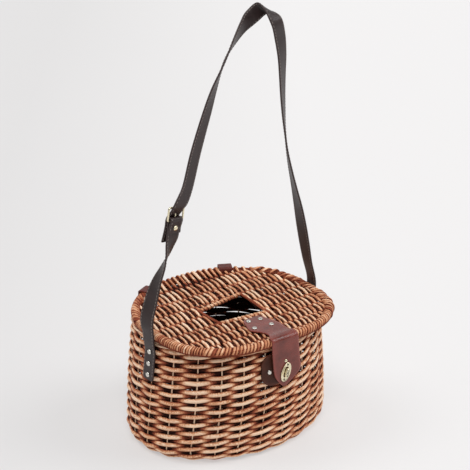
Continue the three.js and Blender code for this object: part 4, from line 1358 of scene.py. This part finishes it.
# A loose wrap stands off from this much inside the border's middle outwards, and up by this share of that
LOOSE_FROM = 0.3
LOOSE_UP = 0.5
# Rods in the middle of the border: how far out and up each lies, and its radius
BORDER_RODS = (
    (4.0, 2.2, 2.2), (4.4, -2.6, 2.2), (-4.0, 2.2, 2.2), (-4.4, -2.6, 2.2), (0.0, 2.9, 2.2), (0.0, -3.4, 2.2),
    (0.0, 0.0, 2.6), (4.2, -4.2, 1.9), (-4.4, -4.2, 1.9),
)
BORDER_ROD_STEPS = 300
BORDER_ROD_WAVE = 0.3
BORDER_ROD_WAVES = 9
BORDER_ROD_TONE = 0.4
BORDER_ROD_CREST = 0.34
# Length along the border over which its direction is taken
BORDER_NUDGE = 1.5
# Along the back the upper rods lie lower, because the lid's weavers go over them: by how much, and the middle,
# half length and ends of that stretch as shares of the way round
SUNK = 2.4
SUNK_MIDDLE = 0.465
SUNK_HALF = 0.13
SUNK_END = 0.02


def wrap_border(chance):
    """The lid's border: long rods in the middle, wrapped with cane that changes its lay on the way round."""
    wraps, core = Skein(), Skein()
    outline, reach = plan_outline(lid_shape(BORDER_WIDTH / 2))
    length = reach[-1]
    half_wide, half_high = BORDER_WIDTH / 2, BORDER_HEIGHT / 2
    middle_z = BODY_HEIGHT + half_high

    def on_border(distance):
        return np.column_stack([np.interp(distance % length, reach, outline[:, k]) for k in (0, 1)])

    def place_and_out(distance):
        along = unit(on_border(distance + BORDER_NUDGE) - on_border(distance - BORDER_NUDGE))
        return on_border(distance), np.column_stack([along[:, 1], -along[:, 0]])

    turn = np.radians(np.linspace(*WRAP_TURN, WRAP_STEPS))
    c, s = np.cos(turn), np.sin(turn)
    over, rise = (np.sign(v) * np.abs(v) ** WRAP_POWER for v in (c, s))
    for start, end, spacing, slant, cover, thick, loose, zone_darkening in BORDER_ZONES:
        count = max(int(round((end - start) * length / spacing)), 1)
        step = (end - start) * length / count
        for n in range(count):
            base = start * length + step * (n + 0.5) + chance.normal(0, WRAP_PLACE_SPREAD * spacing)
            own_slant = slant * (1 + SLANT_SPREAD * loose * chance.normal())
            plan, out = place_and_out(base + own_slant * (turn / (2 * math.pi) - WRAP_MIDDLE))
            lifted = loose * abs(chance.normal()) * np.clip(c + LOOSE_FROM, 0, 1)
            away = (half_wide - thick + lifted) * over
            path = np.column_stack([
                plan + out * away[:, None], middle_z + (half_high - thick + LOOSE_UP * lifted) * rise
            ])
            outward = np.column_stack([out * c[:, None], s])
            tone = np.clip(0.5 + chance.normal(0, WRAP_TONE_SPREAD), 0, 1)
            # Painted light on top and outside, less the zone's darkening
            crest = WRAP_CREST - zone_darkening + WRAP_LIGHT_ON_TOP * s + WRAP_LIGHT_OUTSIDE * c
            half = step * cover / 2 * (1 + chance.normal(0, WRAP_WIDTH_SPREAD))
            side = np.cross(outward, tangents(path, False))
            add_rod(wraps, path, side, thick, half, 8, False, tone, crest, WRAP_SIDE_SHADE)
    shares = np.linspace(0, 1, BORDER_ROD_STEPS, endpoint=False)
    plan, out = place_and_out(shares * length)
    up = np.tile(UPWARD, (BORDER_ROD_STEPS, 1))
    sunk = SUNK * eased((SUNK_HALF - np.abs(shares - SUNK_MIDDLE)) / SUNK_END)
    for away, rise, radius in BORDER_RODS:
        wave = BORDER_ROD_WAVE * np.sin(2 * math.pi * shares * BORDER_ROD_WAVES + away + rise)
        path = np.column_stack([plan + out * (away + wave)[:, None], middle_z + rise - sunk * (rise > 0)])
        add_rod(core, path, up, radius, radius, 8, True, BORDER_ROD_TONE + 0.1 * wave, BORDER_ROD_CREST)
    wraps.piece("lid_border_wraps", finish("cane"), "cane", ["lid_border"])
    core.piece("lid_border_rods", finish("lid_willow"), "willow", ["lid_border"])


# Base: depths of its bands from side to side, sizes of its weave, and its gap inside the wall
BASE_ROWS = tuple(range(-92, 93, 23))
BASE_WEAVE = PanelWeave(level=5.0, step=6.4, half_width=3.1, half_thick=1.7, stake_half=2.0, lift=2.3)
BASE_EASE = 0.5


def weave_base(chance):
    """The oval base inside the foot of the wall."""
    weavers, stakes = Skein(), Skein()
    half_length, half_depth, front, back = body_shape(BASE_WEAVE.level, WALL + BASE_EASE)
    drop = FOOT_ROUND - math.sqrt(FOOT_ROUND**2 - (FOOT_ROUND - BASE_WEAVE.level) ** 2)
    shape = (half_length - drop, half_depth - drop, front, back)
    weave_panel(weavers, stakes, shape, BASE_WEAVE, BASE_ROWS, chance)
    weavers.piece("base_weavers", finish("willow"), "willow", ["base"])
    stakes.piece("base_stakes", finish("willow"), "willow", ["base"])


def rounded_loop(half, low, high, corner, steps, first):
    """Outline of a loop with rounded corners, from the corner whose arc starts at the first angle."""
    middles = {
        0: (half - corner, high - corner),
        90: (corner - half, high - corner),
        180: (corner - half, low + corner),
        270: (half - corner, low + corner),
    }
    places = []
    for quarter in range(4):
        start = (first + 90 * quarter) % 360
        x, y = middles[start]
        for turn in np.radians(np.linspace(start, start + 90, steps)):
            places.append((x + corner * math.cos(turn), y + corner * math.sin(turn)))
    return np.array(places)


# Hinges: rounding of the cut edges, samples between two places of the loop, and the leather's slight waves
HINGE_ROUNDING = 0.7
HINGE_SAMPLES = 4
HINGE_WAVE = 0.12
HINGE_WAVES = 4


def loop_hinges():
    """Leather loops that hold the lid's border to the rim at the back."""
    half_length, half_depth, _, power = lid_shape(0)
    y = half_depth * (1 - (HINGE_X / half_length) ** power) ** (1 / power)
    half_leather = HINGE_LEATHER / 2
    places = rounded_loop(
        (HINGE_OUTSIDE + HINGE_INSIDE) / 2 - half_leather, HINGE_LOW + half_leather, HINGE_HIGH - half_leather,
        HINGE_CORNER - half_leather, 5, 0,
    )
    ahead = np.roll(places, -1, axis=0) - places
    share = np.linspace(0, 1, HINGE_SAMPLES, endpoint=False)
    loop = (places[:, None, :] + ahead[:, None, :] * share[None, :, None]).reshape(-1, 2)
    count = len(loop)
    wave = HINGE_WAVE * np.sin(np.linspace(0, 2 * math.pi * HINGE_WAVES, count))
    section = strip_section(
        np.full(count, HINGE_WIDTH / 2), np.full(count, half_leather), np.full(count, HINGE_ROUNDING), 8
    )
    for name, side in (("hinge_left", -1), ("hinge_right", 1)):
        normal = unit(np.array([
            side * (HINGE_X / half_length) ** (power - 1) / half_length,
            (y / half_depth) ** (power - 1) / half_depth,
            0.0,
        ]))
        along = np.array([normal[1], -normal[0], 0.0])
        middle = np.array([side * HINGE_X, y, 0.0]) + normal * (HINGE_OUTSIDE - HINGE_INSIDE) / 2
        path = middle + normal * loop[:, :1] + np.array(UPWARD) * loop[:, 1:]
        run = tangents(path, True)
        out = np.cross(run, np.tile(along, (count, 1)))
        if np.mean(np.sum(out * (path - path.mean(axis=0)), axis=1)) < 0:
            out = -out
        strip = Skein()
        reverse = np.dot(np.cross(run[0], out[0]), along) < 0
        lay_strip(strip, path + out * wave[:, None], along, out, section, True, reverse)
        strip.piece(f"{name}_leather", finish("hinge"), "latch_leather", [name])


def flap_y(z):
    """Depth of the middle of the flap, which leans in towards the wall below its fold."""
    start = OVER_BORDER_Z - FOLD_RADIUS
    return FLAP_Y + FLAP_LEAN * (start - z) / (start - FLAP_TIP_Z)


# Steepness with which a slot's outline goes from one round end to the other
SLOT_STEEPNESS = 4


def stadium(half_length, half_width, count):
    """Outline of a slot with round ends, drawn upright."""
    turn = 2 * math.pi * np.arange(count) / count
    c, s = np.cos(turn), np.sin(turn)
    run = (half_length - half_width) * np.sign(s) * np.minimum(1, np.abs(s) * SLOT_STEEPNESS)
    return np.column_stack([half_width * c, half_width * s + run])


def on_lock(plan, out):
    """Places on the front of the flap: a plan drawn upright on the tilted lock, and how far it stands out."""
    c, s = math.cos(LOCK_TILT), math.sin(LOCK_TILT)
    x = LOCK_X + plan[:, 0] * c + plan[:, 1] * s
    z = LOCK_Z - plan[:, 0] * s + plan[:, 1] * c
    face = flap_y(LOCK_Z) - HALF_LEATHER
    return np.column_stack([x, np.full(len(x), face) - out, z])


# Slot in the leather: its size as a share of the plate's slot, its sides, and how far the cut reaches
SLOT_SHARE = 1.03
SLOT_SIDES = 40
SLOT_REACH = 6.0


def cut_leather(latch):
    """Cuts the slot for the lock's knob through the flap."""
    plan = SLOT_SHARE * stadium(SLOT_HALF_LENGTH, SLOT_HALF_WIDTH, SLOT_SIDES)
    points = np.vstack([on_lock(plan, -SLOT_REACH), on_lock(plan, SLOT_REACH)])
    mesh = bpy.data.meshes.new("slot")
    mesh.from_pydata((points * MM).tolist(), [], skin_faces(2, SLOT_SIDES, False))
    cutter = bpy.data.objects.new("slot", mesh)
    bpy.context.scene.collection.objects.link(cutter)
    cut = latch.modifiers.new("slot", "BOOLEAN")
    cut.operation, cut.solver, cut.object = "DIFFERENCE", "EXACT", cutter
    seen = latch.evaluated_get(bpy.context.evaluated_depsgraph_get())
    made = bpy.data.meshes.new_from_object(seen)
    latch.modifiers.clear()
    latch.data = made
    bpy.data.objects.remove(cutter)


# Flap: rounding of its cut edges, and what is taken off the width and left of the half thickness at its ends
FLAP_ROUNDING = 0.9
FLAP_END = 0.5


def fold_latch():
    """The tongue on the lid, its fold over the border and the flap that hangs down over the lock."""
    rows = list(TONGUE_ROWS)
    for i in range(FOLD_STEPS + 1):
        angle = math.pi / 2 * i / FOLD_STEPS
        rows.append((
            FLAP_Y + FOLD_RADIUS - FOLD_RADIUS * math.sin(angle),
            OVER_BORDER_Z - FOLD_RADIUS + FOLD_RADIUS * math.cos(angle),
            *FOLD_EDGES,
        ))
    rows += [(flap_y(z), z, left, right) for z, left, right in FLAP_ROWS]
    y, z, left, right = curve_through(rows, 5).T
    path = np.column_stack([(left + right) / 2, y, z])
    across = np.tile((1.0, 0.0, 0.0), (len(path), 1))
    out = unit(np.cross(across, tangents(np.column_stack([np.zeros(len(path)), y, z]), False)))
    half = (right - left) / 2
    half[[0, -1]] -= FLAP_END
    thick = np.full(len(path), HALF_LEATHER)
    thick[[0, -1]] = FLAP_END
    strip = Skein()
    lay_strip(strip, path, across, out, strip_section(half, thick, np.minimum(FLAP_ROUNDING, thick * ROUNDEST), 14))
    latch = strip.piece("latch_flap_leather", finish("latch"), "latch_leather", ["latch_flap"])
    cut_leather(latch)


# Patch: its columns, how far the end ones lie inside its ends, the least half height of a column, the trim and
# height of its rounded edge, and the flat part between the edges
PATCH_COLUMNS = 40
PATCH_END = 0.05
PATCH_LEAST = 0.02
PATCH_EDGE = ((0.0, 0.0), (0.0, PATCH_LEATHER - 0.7), (0.25, PATCH_LEATHER - 0.2), (0.7, PATCH_LEATHER))
PATCH_FLAT = np.linspace(0.8, -0.8, 7)


def lay_patch():
    """The round-cornered patch on the wall behind the flap."""
    patch = Skein()
    centre, half = (PATCH_LEFT + PATCH_RIGHT) / 2, (PATCH_RIGHT - PATCH_LEFT) / 2
    middle, half_height = (PATCH_BOTTOM + PATCH_TOP) / 2, (PATCH_TOP - PATCH_BOTTOM) / 2
    rings = []
    for x in centre - (half - PATCH_END) * np.cos(np.linspace(0, math.pi, PATCH_COLUMNS)):
        into = np.clip(abs(x - centre) - (half - PATCH_CORNER), 0, PATCH_CORNER)
        here = half_height - PATCH_CORNER + math.sqrt(PATCH_CORNER**2 - into**2)
        edge = [(max(here - trim, PATCH_LEAST), out) for trim, out in PATCH_EDGE]
        section = [(middle - reach, out) for reach, out in edge]
        section += [(middle - edge[-1][0] * share, PATCH_LEATHER) for share in PATCH_FLAT]
        section += [(middle + reach, out) for reach, out in edge[::-1]]
        rings.append([(x, -(wall_front(x, z) + SEAT_GAP + out), z) for z, out in section])
    faces = [corners[::-1] for corners in skin_faces(PATCH_COLUMNS, len(rings[0]), False)]
    rim = [1.0] * len(PATCH_EDGE)
    worn = np.tile(rim + [0.0] * len(PATCH_FLAT) + rim, PATCH_COLUMNS)
    patch.add(np.array(rings).reshape(-1, 3), faces, edge=worn)
    patch.piece("latch_patch_leather", finish("patch"), "patch_leather", ["latch_patch"])


# Lock plate from the slot's wall over the dished face and the rolled rim to the back: share of the way from
# the slot to the edge, and height
PLATE_SIDES = 72
PLATE_PROFILE = (
    (0.0, 0.0), (0.0, 0.9), (0.08, 1.15), (0.2, 1.05), (0.5, 0.85), (0.72, 0.95), (0.82, 1.45),
    (0.9, PLATE_THICKNESS), (0.97, 1.3), (1.0, 0.7), (0.98, 0.0),
)
# Pins of the plate: distance from its middle, height of their seats, and profile
PIN_PLACE = 11.6
PIN_SEAT = 0.75
PIN_PROFILE = ((1.5, 0.0), (1.5, 0.35), (1.2, 0.55), (0.5, 0.3), (0.2, 0.25))
# Knob from its back to its rounded front: what is trimmed off its outline, and height; and how far its neck
# reaches into it
KNOB_SIDES = 48
KNOB_PROFILE = (
    (0.7, 0.0), (0.15, 0.35), (0.0, 0.9), (0.0, 2.2), (0.25, 3.0), (0.8, 3.45), (1.5, KNOB_THICKNESS)
)
NECK_INTO_KNOB = 1.0


def fit_lock():
    """The oval plate with its slot on the flap, and the knob that turns in it."""
    turn = 2 * math.pi * np.arange(PLATE_SIDES) / PLATE_SIDES
    oval = np.column_stack([PLATE_HALF_WIDTH * np.cos(turn), PLATE_HALF_LENGTH * np.sin(turn)])
    slot = stadium(SLOT_HALF_LENGTH, SLOT_HALF_WIDTH, PLATE_SIDES)
    plate = Skein()
    rings = [on_lock(slot + (oval - slot) * share, SEAT_GAP + out) for share, out in PLATE_PROFILE]
    plate.add(np.vstack(rings), skin_faces(len(rings), PLATE_SIDES, True))
    plate.piece("lock_plate_metal", finish("brass"), "brass", ["lock_plate"])

    # Almost black pins: painted shade of the plate's screw holes
    pins = Skein()
    for end in (-1, 1):
        seat = on_lock(np.array([[0.0, end * PIN_PLACE]]), SEAT_GAP + PIN_SEAT)[0]
        add_lathe(pins, PIN_PROFILE, seat, TO_THE_FRONT, 20)
    pins.piece("lock_plate_pins", finish("pin"), "brass")

    knob = Skein()
    back = SEAT_GAP + PLATE_THICKNESS + SEAT_GAP
    outline = stadium(1.0, KNOB_HALF_WIDTH / KNOB_HALF_LENGTH, KNOB_SIDES) * KNOB_HALF_LENGTH
    reach = np.linalg.norm(outline, axis=1, keepdims=True)
    rings = [on_lock(outline * (1 - trim / reach), back + out) for trim, out in KNOB_PROFILE]
    knob.add(np.vstack(rings), skin_faces(len(rings), KNOB_SIDES, False))
    patch_face = -(wall_front(LOCK_X, LOCK_Z) + SEAT_GAP + PATCH_LEATHER)
    neck_start = patch_face - LOCK_BASE_SEAT - LOCK_BASE_THICKNESS - SEAT_GAP
    length = neck_start - (flap_y(LOCK_Z) - HALF_LEATHER - back - NECK_INTO_KNOB)
    neck = [(NECK_RADIUS, 0.0), (NECK_RADIUS, length / 2), (NECK_RADIUS, length)]
    add_lathe(knob, neck, (LOCK_X, neck_start, LOCK_Z), TO_THE_FRONT, 24)
    knob.piece("lock_knob_metal", finish("brass"), "brass", ["lock_knob"], body="lock")
    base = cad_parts["lock_base"]
    base.data.materials.clear()
    base.data.materials.append(finish("brass"))


def strap_width(turn, rise=0.0):
    """Direction of a strap's width from its turn in plan and its rise out of plan, in degrees."""
    heading, climb = math.radians(turn), math.radians(rise or 0.0)
    return np.array([
        math.cos(climb) * math.sin(heading), -math.cos(climb) * math.cos(heading), math.sin(climb)
    ])


def buckle_frame():
    """Directions of the buckle: up its length, along its width and out of its plane."""
    up = unit(BUCKLE_UP)
    width = strap_width(BUCKLE_TURN)
    width = unit(width - up * np.dot(width, up))
    return up, width, unit(np.cross(width, up))


def buckle_place(along, out):
    """A place in the middle of the buckle's width, along it from the heel bar and out of its plane."""
    up, _, outwards = buckle_frame()
    return BUCKLE_HEEL + up * along + outwards * out


def strap_stations(side, rows, ends):
    """Places and widths of a strap from its riveted end to the buckle."""
    stations = []
    for z in STRAP_END_ROWS:
        x = side * (wall_end(STRAP_Y, z) + STRAP_WALL_GAP + HALF_LEATHER)
        stations.append((np.array([x, STRAP_Y, z]), strap_width(-side * STRAP_END_TURN), False))
    for x, y, z, turn, rise in rows:
        stations.append((np.array([x, y, z], float), strap_width(turn, rise), rise is not None))
    for along, out in ends:
        stations.append((buckle_place(along, out), buckle_frame()[1], False))
    return stations


def strap_run(stations, samples):
    """Middle line of a strap and its width direction, square to its run except where it folds."""
    path = curve_through([at for at, _, _ in stations], samples)
    along = tangents(path, False)
    widths = []
    for i, (_, width, folded) in enumerate(stations):
        run = along[min(i * samples, len(along) - 1)]
        widths.append(unit(width - run * (0.0 if folded else np.dot(width, run))))
    return path, unit(curve_through(widths, samples, centripetal=False))


def end_taper(path):
    """The riveted ends are cut round below the lowest rivet."""
    reach = np.clip((path[:, 2] - STRAP_END_Z) / STRAP_END_ROUND, 0, 1)
    return STRAP_END_SQUARE + (1 - STRAP_END_SQUARE) * np.sqrt(1 - (1 - reach) ** 2)


def hang_straps(sizes):
    """Both straps, with their stitching."""
    loop = [
        (HEEL_LOOP_RADIUS * math.cos(math.radians(a)), HEEL_LOOP_RADIUS * math.sin(math.radians(a)))
        for a in HEEL_LOOP_ANGLES
    ]
    half = sizes.strap_width / MM / 2
    thick = sizes.strap_thickness / MM / 2
    for name, node, side, rows, ends in (
        ("strap_short_leather", "strap_short", -1, SHORT_STRAP_ROWS, [*SHORT_FOLD_ROWS, *loop, *FOLD_TAIL_ROWS]),
        ("strap_long_leather", "strap_long", 1, LONG_STRAP_ROWS, LONG_END_ROWS),
    ):
        path, across = strap_run(strap_stations(side, rows, ends), 8)
        width = half * end_taper(path)
        strip = Skein()
        add_strip(strip, path, across, width, thick, STRAP_ROUNDING, 8)
        strip.piece(name, finish("strap"), "strap_leather", [node])
        stitch_strap(f"{node}_stitches", path, across, width, thick, sizes)


# Stitches: where the rows start and how far from the tip they end, place along a stitch and its radius there,
# its flatness, how proud of the leather its middle lies, and its sides
STITCH_START = 10.0
STITCH_END = 4.0
STITCH_SHAPE = ((-1.75, 0.12), (-1.2, 0.42), (0.0, 0.5), (1.2, 0.42), (1.75, 0.12))
STITCH_FLATNESS = 0.8
STITCH_PROUD = 0.05
STITCH_SIDES = 6


def stitch_strap(name, path, across, width, thick, sizes):
    """Rows of stitches near both edges, on both faces of a strap."""
    stitches = Skein()
    reach = running_length(path)
    along = tangents(path, False)
    out = unit(np.cross(across, along))
    pitch, margin = sizes.stitch_pitch / MM, sizes.stitch_margin / MM
    turn = 2 * math.pi * np.arange(STITCH_SIDES) / STITCH_SIDES
    c, s = np.cos(turn)[:, None], STITCH_FLATNESS * np.sin(turn)[:, None]
    faces = skin_faces(len(STITCH_SHAPE), STITCH_SIDES, False)
    for start in np.arange(STITCH_START, reach[-1] - STITCH_END, pitch):
        at = at_length(start, reach, path)
        wide, run, face = (unit(at_length(start, reach, values)) for values in (across, along, out))
        half = np.interp(start, reach, width) - margin
        for edge in (-1, 1):
            for side in (-1, 1):
                middle = at + wide * half * edge + face * side * (thick + STITCH_PROUD)
                rings = [middle + run * a + wide * radius * c + face * side * radius * s for a, radius in STITCH_SHAPE]
                stitches.add(np.vstack(rings), faces if side < 0 else [corners[::-1] for corners in faces])
    stitches.piece(name, finish("thread"), "strap_leather")


# Prong: its samples, the share of its length from which it narrows, what it narrows by, and its end sections
PRONG_STEPS = 16
PRONG_NARROWS = 0.7
PRONG_NARROWING = 0.45
PRONG_ENDS = 0.6


def fit_buckle():
    """The bent wire frame of the buckle, and its prong."""
    up, width, out = buckle_frame()
    half = BUCKLE_INSIDE_WIDTH / 2 + BUCKLE_BAR / 2
    places = rounded_loop(half, 0.0, BUCKLE_INSIDE_LENGTH + BUCKLE_BAR, BUCKLE_CORNER - BUCKLE_BAR / 2, 7, 270)
    path = BUCKLE_HEEL + width * places[:, :1] + up * places[:, 1:]
    wire = Skein()
    add_rod(wire, path, np.tile(out, (len(path), 1)), BUCKLE_BAR / 2, BUCKLE_BAR / 2, 14, True)
    wire.piece("buckle_frame_wire", finish("brass"), "brass", ["buckle_frame"])

    start = HEEL_LOOP_RADIUS + HALF_LEATHER + SEAT_GAP + PRONG_THICKNESS / 2
    far = BUCKLE_INSIDE_LENGTH + 1.5 * BUCKLE_BAR
    length = far + PRONG_OVERHANG - start
    rest = BUCKLE_BAR / 2 + 2 * SEAT_GAP + PRONG_THICKNESS / 2
    rise = math.atan2(rest, far - BUCKLE_BAR - start)
    share = np.linspace(0, 1, PRONG_STEPS)
    reach = (length * share)[:, None]
    path = BUCKLE_HEEL + up * (start + reach * math.cos(rise)) + out * (reach * math.sin(rise))
    slim = 1 - PRONG_NARROWING * np.clip(share - PRONG_NARROWS, 0, 1) / (1 - PRONG_NARROWS)
    slim[[0, -1]] *= PRONG_ENDS
    prong = Skein()
    outs = np.tile(out, (PRONG_STEPS, 1))
    add_rod(prong, path, outs, PRONG_WIDTH / 2 * slim, PRONG_THICKNESS / 2 * slim, 12, False)
    prong.piece("buckle_prong_wire", finish("brass"), "brass", ["buckle_prong"])


def set_rivets():
    """Domed heads on the straps, the lid's tongue, the patch, the fold at the buckle and the flap."""
    strap, lid, patch = Skein(), Skein(), Skein()
    head = dome_profile(RIVET_RADIUS, RIVET_HEIGHT)
    patch_head = dome_profile(PATCH_RIVET_RADIUS, PATCH_RIVET_HEIGHT + SEAT_GAP)
    for side in (-1, 1):
        turn = math.radians(STRAP_END_TURN)
        axis = np.array([side * math.cos(turn), -math.sin(turn), 0.0])
        for z in STRAP_RIVET_Z:
            reach = wall_end(STRAP_Y, z) + STRAP_WALL_GAP + LEATHER + STRAP_RIVET_EASE
            add_lathe(strap, head, np.array([side * reach, STRAP_Y, z]), axis)
        x, z = PATCH_RIVET_X, PATCH_RIVET_Z
        slope = (wall_front(x - RIVET_RADIUS, z) - wall_front(x + RIVET_RADIUS, z)) / (2 * RIVET_RADIUS)
        seat = np.array([side * x, -(wall_front(x, z) + SEAT_GAP + PATCH_LEATHER), z])
        add_lathe(patch, patch_head, seat, (side * slope, -1.0, 0.0))
    for x, y in LID_RIVETS:
        add_lathe(lid, head, np.array([x, y, TONGUE_Z + HALF_LEATHER]), UPWARD)
    strap.piece(
        "strap_rivets", finish("nickel"), "nickel",
        [f"strap_rivet_{word}_{i}" for word in ("left", "right") for i in (1, 2, 3)],
    )
    patch.piece("patch_rivets", finish("nickel"), "nickel", ["patch_rivet_left", "patch_rivet_right"])
    lid.piece("lid_rivets", finish("nickel"), "nickel", [f"lid_rivet_{i}" for i in (1, 2, 3, 4)])
    fold = Skein()
    out = buckle_frame()[2]
    add_lathe(fold, head, buckle_place(FOLD_RIVET_ALONG, FOLD_RIVET_OUT - HALF_LEATHER), -out)
    fold.piece("fold_rivet_head", finish("brass"), "brass", ["fold_rivet"])
    stud = Skein()
    add_lathe(
        stud, dome_profile(STUD_RADIUS, STUD_HEIGHT + SEAT_GAP),
        np.array([STUD_X, flap_y(STUD_Z) - HALF_LEATHER, STUD_Z]), TO_THE_FRONT,
    )
    stud.piece("flap_stud_head", finish("brass"), "brass", ["flap_stud"])


# Stage in metres: half size of the floor, how far it lies below the basket's underside, distance of the lights,
# and strength of the light from all round
FLOOR_HALF = 9.0
FLOOR_DROP = 0.0002
LIGHT_DISTANCE = 3.0
ROUND_LIGHT = 0.33
# Large soft sources, one to each side of the camera, one above it and a weak one behind the basket: azimuth,
# height and spread in degrees, and power
LIGHTS = (
    ("right_light", -35.9, 45.0, 30.0, 1.25),
    ("left_light", 144.1, 55.0, 30.0, 0.85),
    ("top_light", -126.0, 58.0, 26.0, 1.0),
    ("back_light", 54.0, 25.0, 60.0, 0.4),
)


def light_stage():
    """Pale floor, soft studio light and the camera."""
    scene = bpy.context.scene
    mesh = bpy.data.meshes.new("floor")
    corners = [(FLOOR_HALF * x, FLOOR_HALF * y, 0.0) for x, y in ((-1, -1), (1, -1), (1, 1), (-1, 1))]
    mesh.from_pydata(corners, [], [(0, 1, 2, 3)])
    mesh.materials.append(finish("paper"))
    floor = bpy.data.objects.new("floor", mesh)
    floor.location.z = -FLOOR_DROP
    scene.collection.objects.link(floor)

    world = bpy.data.worlds.new("studio")
    world.use_nodes = True
    background = world.node_tree.nodes["Background"]
    background.inputs["Color"].default_value = (1.0, 1.0, 1.0, 1.0)
    background.inputs["Strength"].default_value = ROUND_LIGHT
    scene.world = world
    scene.view_settings.view_transform = "Standard"

    for name, azimuth, height, spread, power in LIGHTS:
        lamp = bpy.data.lights.new(name, "SUN")
        lamp.angle, lamp.energy = math.radians(spread), power
        made = bpy.data.objects.new(name, lamp)
        turn, lift = math.radians(azimuth), math.radians(height)
        towards = Vector((math.cos(turn) * math.cos(lift), math.sin(turn) * math.cos(lift), math.sin(lift)))
        made.location = towards * LIGHT_DISTANCE
        made.rotation_euler = (-towards).to_track_quat("-Z", "Y").to_euler()
        scene.collection.objects.link(made)

    lens = bpy.data.cameras.new("camera")
    lens.lens, lens.sensor_width = CAMERA_LENS, CAMERA_SENSOR
    lens.clip_start, lens.clip_end = 0.05, 50.0
    camera = bpy.data.objects.new("camera", lens)
    camera.location = CAMERA_AT
    camera.rotation_euler = (math.radians(90 - CAMERA_TILT), 0.0, math.radians(-CAMERA_AZIMUTH))
    scene.collection.objects.link(camera)
    scene.camera = camera


# Seeds of the uneven hand work in the body and the lid
BODY_SEED = 11
LID_SEED = 23


class BASKET_OT_stage(bpy.types.Operator):
    """Sets up the floor, the light and the camera"""

    bl_idname = "basket.stage"
    bl_label = "Stage"

    def execute(self, context):
        light_stage()
        return {"FINISHED"}


class BASKET_OT_body(bpy.types.Operator):
    """Weaves the wall on its stakes, with the rim and the base"""

    bl_idname = "basket.body"
    bl_label = "Body"

    def execute(self, context):
        sizes = context.scene.basket_weave
        chance = np.random.default_rng(BODY_SEED)
        weave_wall(sizes, chance)
        wale_rim(sizes)
        weave_base(chance)
        return {"FINISHED"}


class BASKET_OT_lid(bpy.types.Operator):
    """Weaves the lid round its opening and wraps its border"""

    bl_idname = "basket.lid"
    bl_label = "Lid"

    def execute(self, context):
        chance = np.random.default_rng(LID_SEED)
        weave_lid(context.scene.basket_weave, chance)
        wrap_border(chance)
        return {"FINISHED"}


class BASKET_OT_hinges(bpy.types.Operator):
    """Loops the leather hinges round the border and the rim"""

    bl_idname = "basket.hinges"
    bl_label = "Hinges"

    def execute(self, context):
        loop_hinges()
        return {"FINISHED"}


class BASKET_OT_latch(bpy.types.Operator):
    """Folds the latch over the border and lays the patch behind it"""

    bl_idname = "basket.latch"
    bl_label = "Latch"

    def execute(self, context):
        fold_latch()
        lay_patch()
        return {"FINISHED"}


class BASKET_OT_lock(bpy.types.Operator):
    """Fits the turn lock to the flap"""

    bl_idname = "basket.lock"
    bl_label = "Turn lock"

    def execute(self, context):
        fit_lock()
        return {"FINISHED"}


class BASKET_OT_straps(bpy.types.Operator):
    """Hangs the two straps and stitches their edges"""

    bl_idname = "basket.straps"
    bl_label = "Straps"

    def execute(self, context):
        hang_straps(context.scene.basket_leather)
        return {"FINISHED"}


class BASKET_OT_buckle(bpy.types.Operator):
    """Bends the buckle's frame and sets its prong"""

    bl_idname = "basket.buckle"
    bl_label = "Buckle"

    def execute(self, context):
        fit_buckle()
        return {"FINISHED"}


class BASKET_OT_rivets(bpy.types.Operator):
    """Sets the rivets and the stud"""

    bl_idname = "basket.rivets"
    bl_label = "Rivets"

    def execute(self, context):
        set_rivets()
        return {"FINISHED"}


OPERATORS = (
    BASKET_OT_stage,
    BASKET_OT_body,
    BASKET_OT_lid,
    BASKET_OT_hinges,
    BASKET_OT_latch,
    BASKET_OT_lock,
    BASKET_OT_straps,
    BASKET_OT_buckle,
    BASKET_OT_rivets,
)


class BASKET_PT_panel(bpy.types.Panel):
    """Sizes, colours and steps of the basket"""

    bl_idname = "BASKET_PT_panel"
    bl_label = "Willow basket"
    bl_space_type = "VIEW_3D"
    bl_region_type = "UI"
    bl_category = "Basket"

    def draw(self, context):
        for operator in OPERATORS:
            self.layout.operator(operator.bl_idname)
        for group in (context.scene.basket_weave, context.scene.basket_leather, context.scene.basket_colours):
            for name in group.__annotations__:
                self.layout.prop(group, name)


CLASSES = (WovenSizes, LeatherSizes, FinishColours, *OPERATORS, BASKET_PT_panel)


def register():
    """Adds the classes, and their sizes and colours to the scene."""
    for kind in CLASSES:
        bpy.utils.register_class(kind)
    bpy.types.Scene.basket_weave = bpy.props.PointerProperty(type=WovenSizes)
    bpy.types.Scene.basket_leather = bpy.props.PointerProperty(type=LeatherSizes)
    bpy.types.Scene.basket_colours = bpy.props.PointerProperty(type=FinishColours)


def unregister():
    """Takes the classes, the sizes and the colours away again."""
    del bpy.types.Scene.basket_colours
    del bpy.types.Scene.basket_leather
    del bpy.types.Scene.basket_weave
    for kind in reversed(CLASSES):
        bpy.utils.unregister_class(kind)


def main():
    """Makes the basket piece by piece."""
    register()
    bpy.ops.basket.stage()
    bpy.ops.basket.body()
    bpy.ops.basket.lid()
    bpy.ops.basket.hinges()
    bpy.ops.basket.latch()
    bpy.ops.basket.lock()
    bpy.ops.basket.straps()
    bpy.ops.basket.buckle()
    bpy.ops.basket.rivets()


if __name__ == "__main__":
    main()
